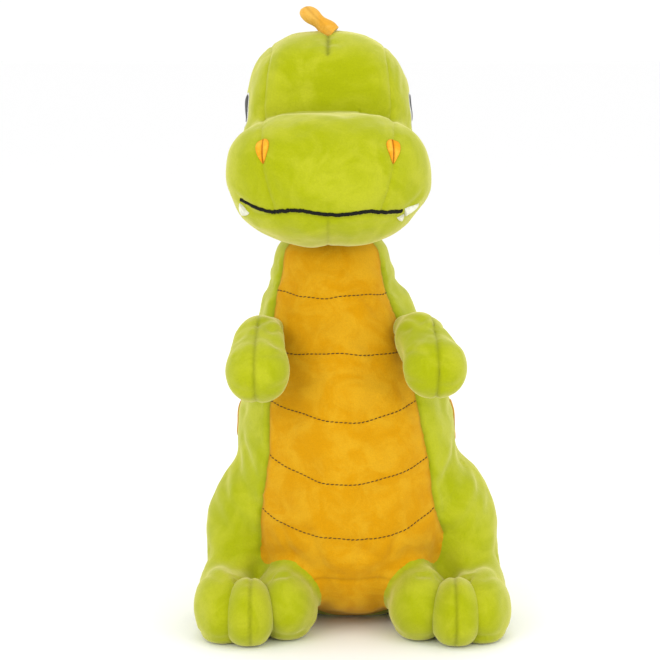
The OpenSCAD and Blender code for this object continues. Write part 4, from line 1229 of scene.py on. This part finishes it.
# ---- stitches by Geometry Nodes ----
def makeStitchTree():
    tree = bpy.data.node_groups.new("stitchesAlongPath", "GeometryNodeTree")
    number = "NodeSocketFloat"
    inlet, outlet = groupSockets(
        tree,
        [("Geometry", "NodeSocketGeometry", None), ("Spacing", number, 0.003),
            ("Stitch Length", number, 0.002), ("Stitch Width", number, 0.0006),
            ("Stitch Height", number, 0.0004), ("Slant", number, 0.0),
            ("Wander", number, 0.1), ("Seed", "NodeSocketInt", 1),
            ("Thread", "NodeSocketMaterial", None)],
        [("Geometry", "NodeSocketGeometry")],
    )
    link = tree.links.new
    toCurve = addNode(tree, "GeometryNodeMeshToCurve")
    link(inlet.outputs["Geometry"], toCurve.inputs["Mesh"])
    even = addNode(tree, "GeometryNodeResampleCurve")
    if "Mode" in even.inputs:
        even.inputs["Mode"].default_value = "Length"
    else:
        even.mode = "LENGTH"
    link(toCurve.outputs["Curve"], even.inputs["Curve"])
    link(inlet.outputs["Spacing"], even.inputs["Length"])
    bead = addNode(tree, "GeometryNodeMeshUVSphere", {"Segments": 8, "Rings": 6, "Radius": 0.5})
    tangent = addNode(tree, "GeometryNodeInputTangent")
    first = addNode(tree, "FunctionNodeAlignRotationToVector", axis="X")
    link(tangent.outputs[0], first.inputs["Vector"])
    outward = addNode(tree, "GeometryNodeInputNamedAttribute", data_type="FLOAT_VECTOR")
    outward.inputs["Name"].default_value = "outward"
    second = addNode(tree, "FunctionNodeAlignRotationToVector", axis="Z", pivot_axis="X")
    link(first.outputs["Rotation"], second.inputs["Rotation"])
    link(outward.outputs["Attribute"], second.inputs["Vector"])
    stray = addNode(tree, "FunctionNodeRandomValue", data_type="FLOAT")
    stray.inputs[2].default_value = -1.0
    stray.inputs[3].default_value = 1.0
    link(inlet.outputs["Seed"], stray.inputs["Seed"])
    part = addNode(tree, "ShaderNodeMath", operation="MULTIPLY")
    link(stray.outputs[1], part.inputs[0])
    link(inlet.outputs["Wander"], part.inputs[1])
    angle = addNode(tree, "ShaderNodeMath", operation="ADD")
    link(part.outputs[0], angle.inputs[0])
    link(inlet.outputs["Slant"], angle.inputs[1])
    euler = addNode(tree, "ShaderNodeCombineXYZ")
    link(angle.outputs[0], euler.inputs["Z"])
    turn = addNode(tree, "FunctionNodeRotateRotation", rotation_space="LOCAL")
    link(second.outputs["Rotation"], turn.inputs["Rotation"])
    link(euler.outputs[0], turn.inputs["Rotate By"])
    size = addNode(tree, "ShaderNodeCombineXYZ")
    link(inlet.outputs["Stitch Length"], size.inputs["X"])
    link(inlet.outputs["Stitch Width"], size.inputs["Y"])
    link(inlet.outputs["Stitch Height"], size.inputs["Z"])
    place = addNode(tree, "GeometryNodeInstanceOnPoints")
    link(even.outputs["Curve"], place.inputs["Points"])
    link(bead.outputs["Mesh"], place.inputs["Instance"])
    link(turn.outputs["Rotation"], place.inputs["Rotation"])
    link(size.outputs[0], place.inputs["Scale"])
    real = addNode(tree, "GeometryNodeRealizeInstances")
    link(place.outputs["Instances"], real.inputs["Geometry"])
    smooth = addNode(tree, "GeometryNodeSetShadeSmooth")
    link(real.outputs["Geometry"], smooth.inputs[0])
    paint = addNode(tree, "GeometryNodeSetMaterial")
    link(smooth.outputs[0], paint.inputs["Geometry"])
    link(inlet.outputs["Thread"], paint.inputs["Material"])
    link(paint.outputs["Geometry"], outlet.inputs["Geometry"])
    return tree


stitchTree = makeStitchTree()


def runStitches(name, paths, setup, material, body, nodes):
    # paths: lists of (places, ways out); one plain mesh comes back for the body
    mesh = bpy.data.meshes.new(name + "Path")
    places = np.concatenate([a for a, _ in paths])
    ways = np.concatenate([b for _, b in paths])
    edges, start = [], 0
    for a, _ in paths:
        edges += [(start + i, start + i + 1) for i in range(len(a) - 1)]
        start += len(a)
    mesh.from_pydata(((places + spine) * mm).tolist(), edges, [])
    mesh.attributes.new("outward", "FLOAT_VECTOR", "POINT").data.foreach_set(
        "vector", ways.ravel())
    source = bpy.data.objects.new(name + "Path", mesh)
    scene.collection.objects.link(source)
    modifier = source.modifiers.new("stitches", "NODES")
    modifier.node_group = stitchTree
    keys = {s.name: s.identifier for s in stitchTree.interface.items_tree
        if s.in_out == "INPUT"}
    for key, value in setup.items():
        modifier[keys[key]] = value
    modifier[keys["Thread"]] = material
    shown = source.evaluated_get(bpy.context.evaluated_depsgraph_get())
    final = bpy.data.meshes.new_from_object(shown)
    final.name = name
    bpy.data.objects.remove(source)
    piece = bpy.data.objects.new(name, final)
    scene.collection.objects.link(piece)
    finishPiece(piece, body, nodes)
    return piece


# belly rows: height in the middle, rise towards the edges
bellyRows = [(249.5, 3), (208.5, 2), (161, 13), (116, 17), (74.5, 19)]
paths = []
for row, (z, rise) in enumerate(bellyRows):
    u = np.linspace(-1, 1, 120)
    wobble = 0.7 * np.sin(u * 5 + row * 2.1) + 0.3 * np.sin(u * 13 + row)
    heights = z + rise * np.abs(u) ** 1.9 + wobble
    middle, half = along(torsoSetup["belly"], heights)
    cx, wide, front, _ = along(torsoSetup["rows"], heights)
    x = middle + u * half
    line = np.stack([x, -front * np.sqrt(
        np.maximum(1 - ((x - cx) / wide) ** 2, 0.02)), heights], 1)
    line, _ = settle(bodyField, line, 8)
    line = line[(bellyValue(line) < -1.5) & (torsoField(*line.T) < legField(*line.T) - 1)]
    paths.append(onForm(bodyField, bodySoft, line, 0.2))
runStitches("bellyStitches", paths, {
    "Spacing": 0.0033, "Stitch Length": 0.0028, "Stitch Width": 0.0008,
    "Stitch Height": 0.0008, "Slant": 0.10, "Wander": 0.14, "Seed": 4,
}, materials["bellyThread"], "torso", ["belly_stitching"])

across = np.linspace(-67, 58.5, 220)
height, = along(headSetup["mouth"], across)
flatPath = np.stack([across, 0 * across, 0 * across], 1)
wobble = 0.7 * lumps(flatPath, 14, 21) + 0.5 * lumps(flatPath, 5, 22)
v = np.clip(np.abs(across) / 76, 0, 0.99)
line = np.stack([headX + across, -52 - 56 * (1 - v ** 2.2) ** (1 / 2.2), height + wobble], 1)
runStitches("mouthStitches", [onForm(headField, headSoft, line, 0.5)], {
    "Spacing": 0.00075, "Stitch Length": 0.0036, "Stitch Width": 0.0013,
    "Stitch Height": 0.0014, "Slant": 1.15, "Wander": 0.3, "Seed": 9,
}, materials["mouthThread"], "head", ["mouth_line"])
print("stitches run")


# ---- stuffing: the fibre fill inside each form ----
def makeFill(name, field, low, high, step, inset, body, node):
    def inner(x, y, z):
        return field(x, y, z) + inset
    form = makeForm(inner, low, high, step)
    soft = dict(plain, lumps=0.6)
    piece = closedPiece(name, form, soft, "fibreFill", body, [node])


makeFill("torsoFill", torsoField, (-92, -82, 0), (90, 84, 306), 6, 7, "torso",
    "torso_stuffing")
makeFill("headFill", headField, (-96, -112, 280), (60, 68, 446), 6, 7, "head",
    "head_stuffing")
for side, s in (("left", 1), ("right", -1)):
    def upperLeg(x, y, z, s=s):
        f = softMax(legField(x, y, z), -torsoField(x, y, z) - 3, 4)
        return np.maximum(softMax(f, 52 - z, 4), -s * x)

    def lowerLeg(x, y, z, s=s):
        f = softMax(legField(x, y, z), -torsoField(x, y, z) - 3, 4)
        toe = blob(x, y, z, (s * toeSetup["x"], toeSetup["y"], toeSetup["z"]),
            toeSetup["size"])
        f = softMax(f, -toe, 3)
        return np.maximum(softMax(f, z - 48, 4), -s * x)

    span = (4, 122) if s > 0 else (-122, -4)
    makeFill(side + "ThighFill", upperLeg, (span[0], -100, 40), (span[1], 60, 132), 5, 8.5,
        "torso", side + "_thigh_stuffing")
    makeFill(side + "FootFill", lowerLeg, (span[0], -110, 0), (span[1], 60, 60), 5, 7,
        "torso", side + "_foot_stuffing")
    pivot = jointSpot(side + "_shoulder") - spine
    aim = unit(np.array(armSetup[side]["aim"], float))
    end = pivot + aim * (armSetup["length"] + 2)

    def armInside(x, y, z, pivot=pivot, end=end):
        return limb(x, y, z, pivot, end, armSetup["root"] - 1.5, armSetup["paw"])

    makeFill(side + "ArmFill", armInside, np.minimum(pivot, end) - 26,
        np.maximum(pivot, end) + 26, 4, 5.5, side + "_arm", side + "_arm_stuffing")


def rootInside(x, y, z):
    return softMax(tailField(x, y, z), ball(x, y, z, tailBend - (0, 22, 0), 34), 2)


def tipInside(x, y, z):
    return softMax(tailField(x, y, z), tailBend[1] + 14 - y, 3)


makeFill("tailRootFill", rootInside, tailLow, tailHigh, 5, 5, "torso", "tail_root_stuffing")
makeFill("tailFill", tipInside, tailLow, tailHigh, 5, 5, "tail", "tail_stuffing")
print("stuffing made")


# ---- studio ----
studioSetup = {
    "floor": (250, 250, 250), "floorSize": 60.0,
    "lights": [
        # name, place in metres, size, watts
        ("keyLight", (-1.2, -1.8, 1.1), 1.2, 15), ("fillLight", (1.5, -1.6, 0.8), 1.4, 12),
        ("topLight", (0.0, 0.0, 2.1), 1.8, 3), ("backLight", (0.5, 1.8, 1.3), 1.4, 6),
    ],
    "world": (255, 255, 255), "worldStrength": 1.04,
}


def makeStudio(setup):
    mesh = bpy.data.meshes.new("studioFloor")
    h = setup["floorSize"] / 2
    mesh.from_pydata([(-h, -h, 0), (h, -h, 0), (h, h, 0), (-h, h, 0)], [], [(0, 1, 2, 3)])
    floor = bpy.data.objects.new("studioFloor", mesh)
    scene.collection.objects.link(floor)
    paint = bpy.data.materials.new("studioFloorPaint")
    paint.use_nodes = True
    shader = paint.node_tree.nodes["Principled BSDF"]
    shader.inputs["Base Color"].default_value = linear(setup["floor"])
    shader.inputs["Roughness"].default_value = 0.9
    mesh.materials.append(paint)
    world = bpy.data.worlds.new("studioWorld")
    world.use_nodes = True
    back = world.node_tree.nodes["Background"]
    back.inputs["Color"].default_value = linear(setup["world"])
    back.inputs["Strength"].default_value = setup["worldStrength"]
    scene.world = world
    for name, place, size, power in setup["lights"]:
        data = bpy.data.lights.new(name, "AREA")
        data.size = size
        data.energy = power
        lamp = bpy.data.objects.new(name, data)
        lamp.location = place
        aim = Vector((0, 0, 0.2)) - Vector(place)
        lamp.rotation_euler = aim.to_track_quat("-Z", "Y").to_euler()
        scene.collection.objects.link(lamp)
    scene.view_settings.view_transform = "Standard"


makeStudio(studioSetup)
print("studio lit")
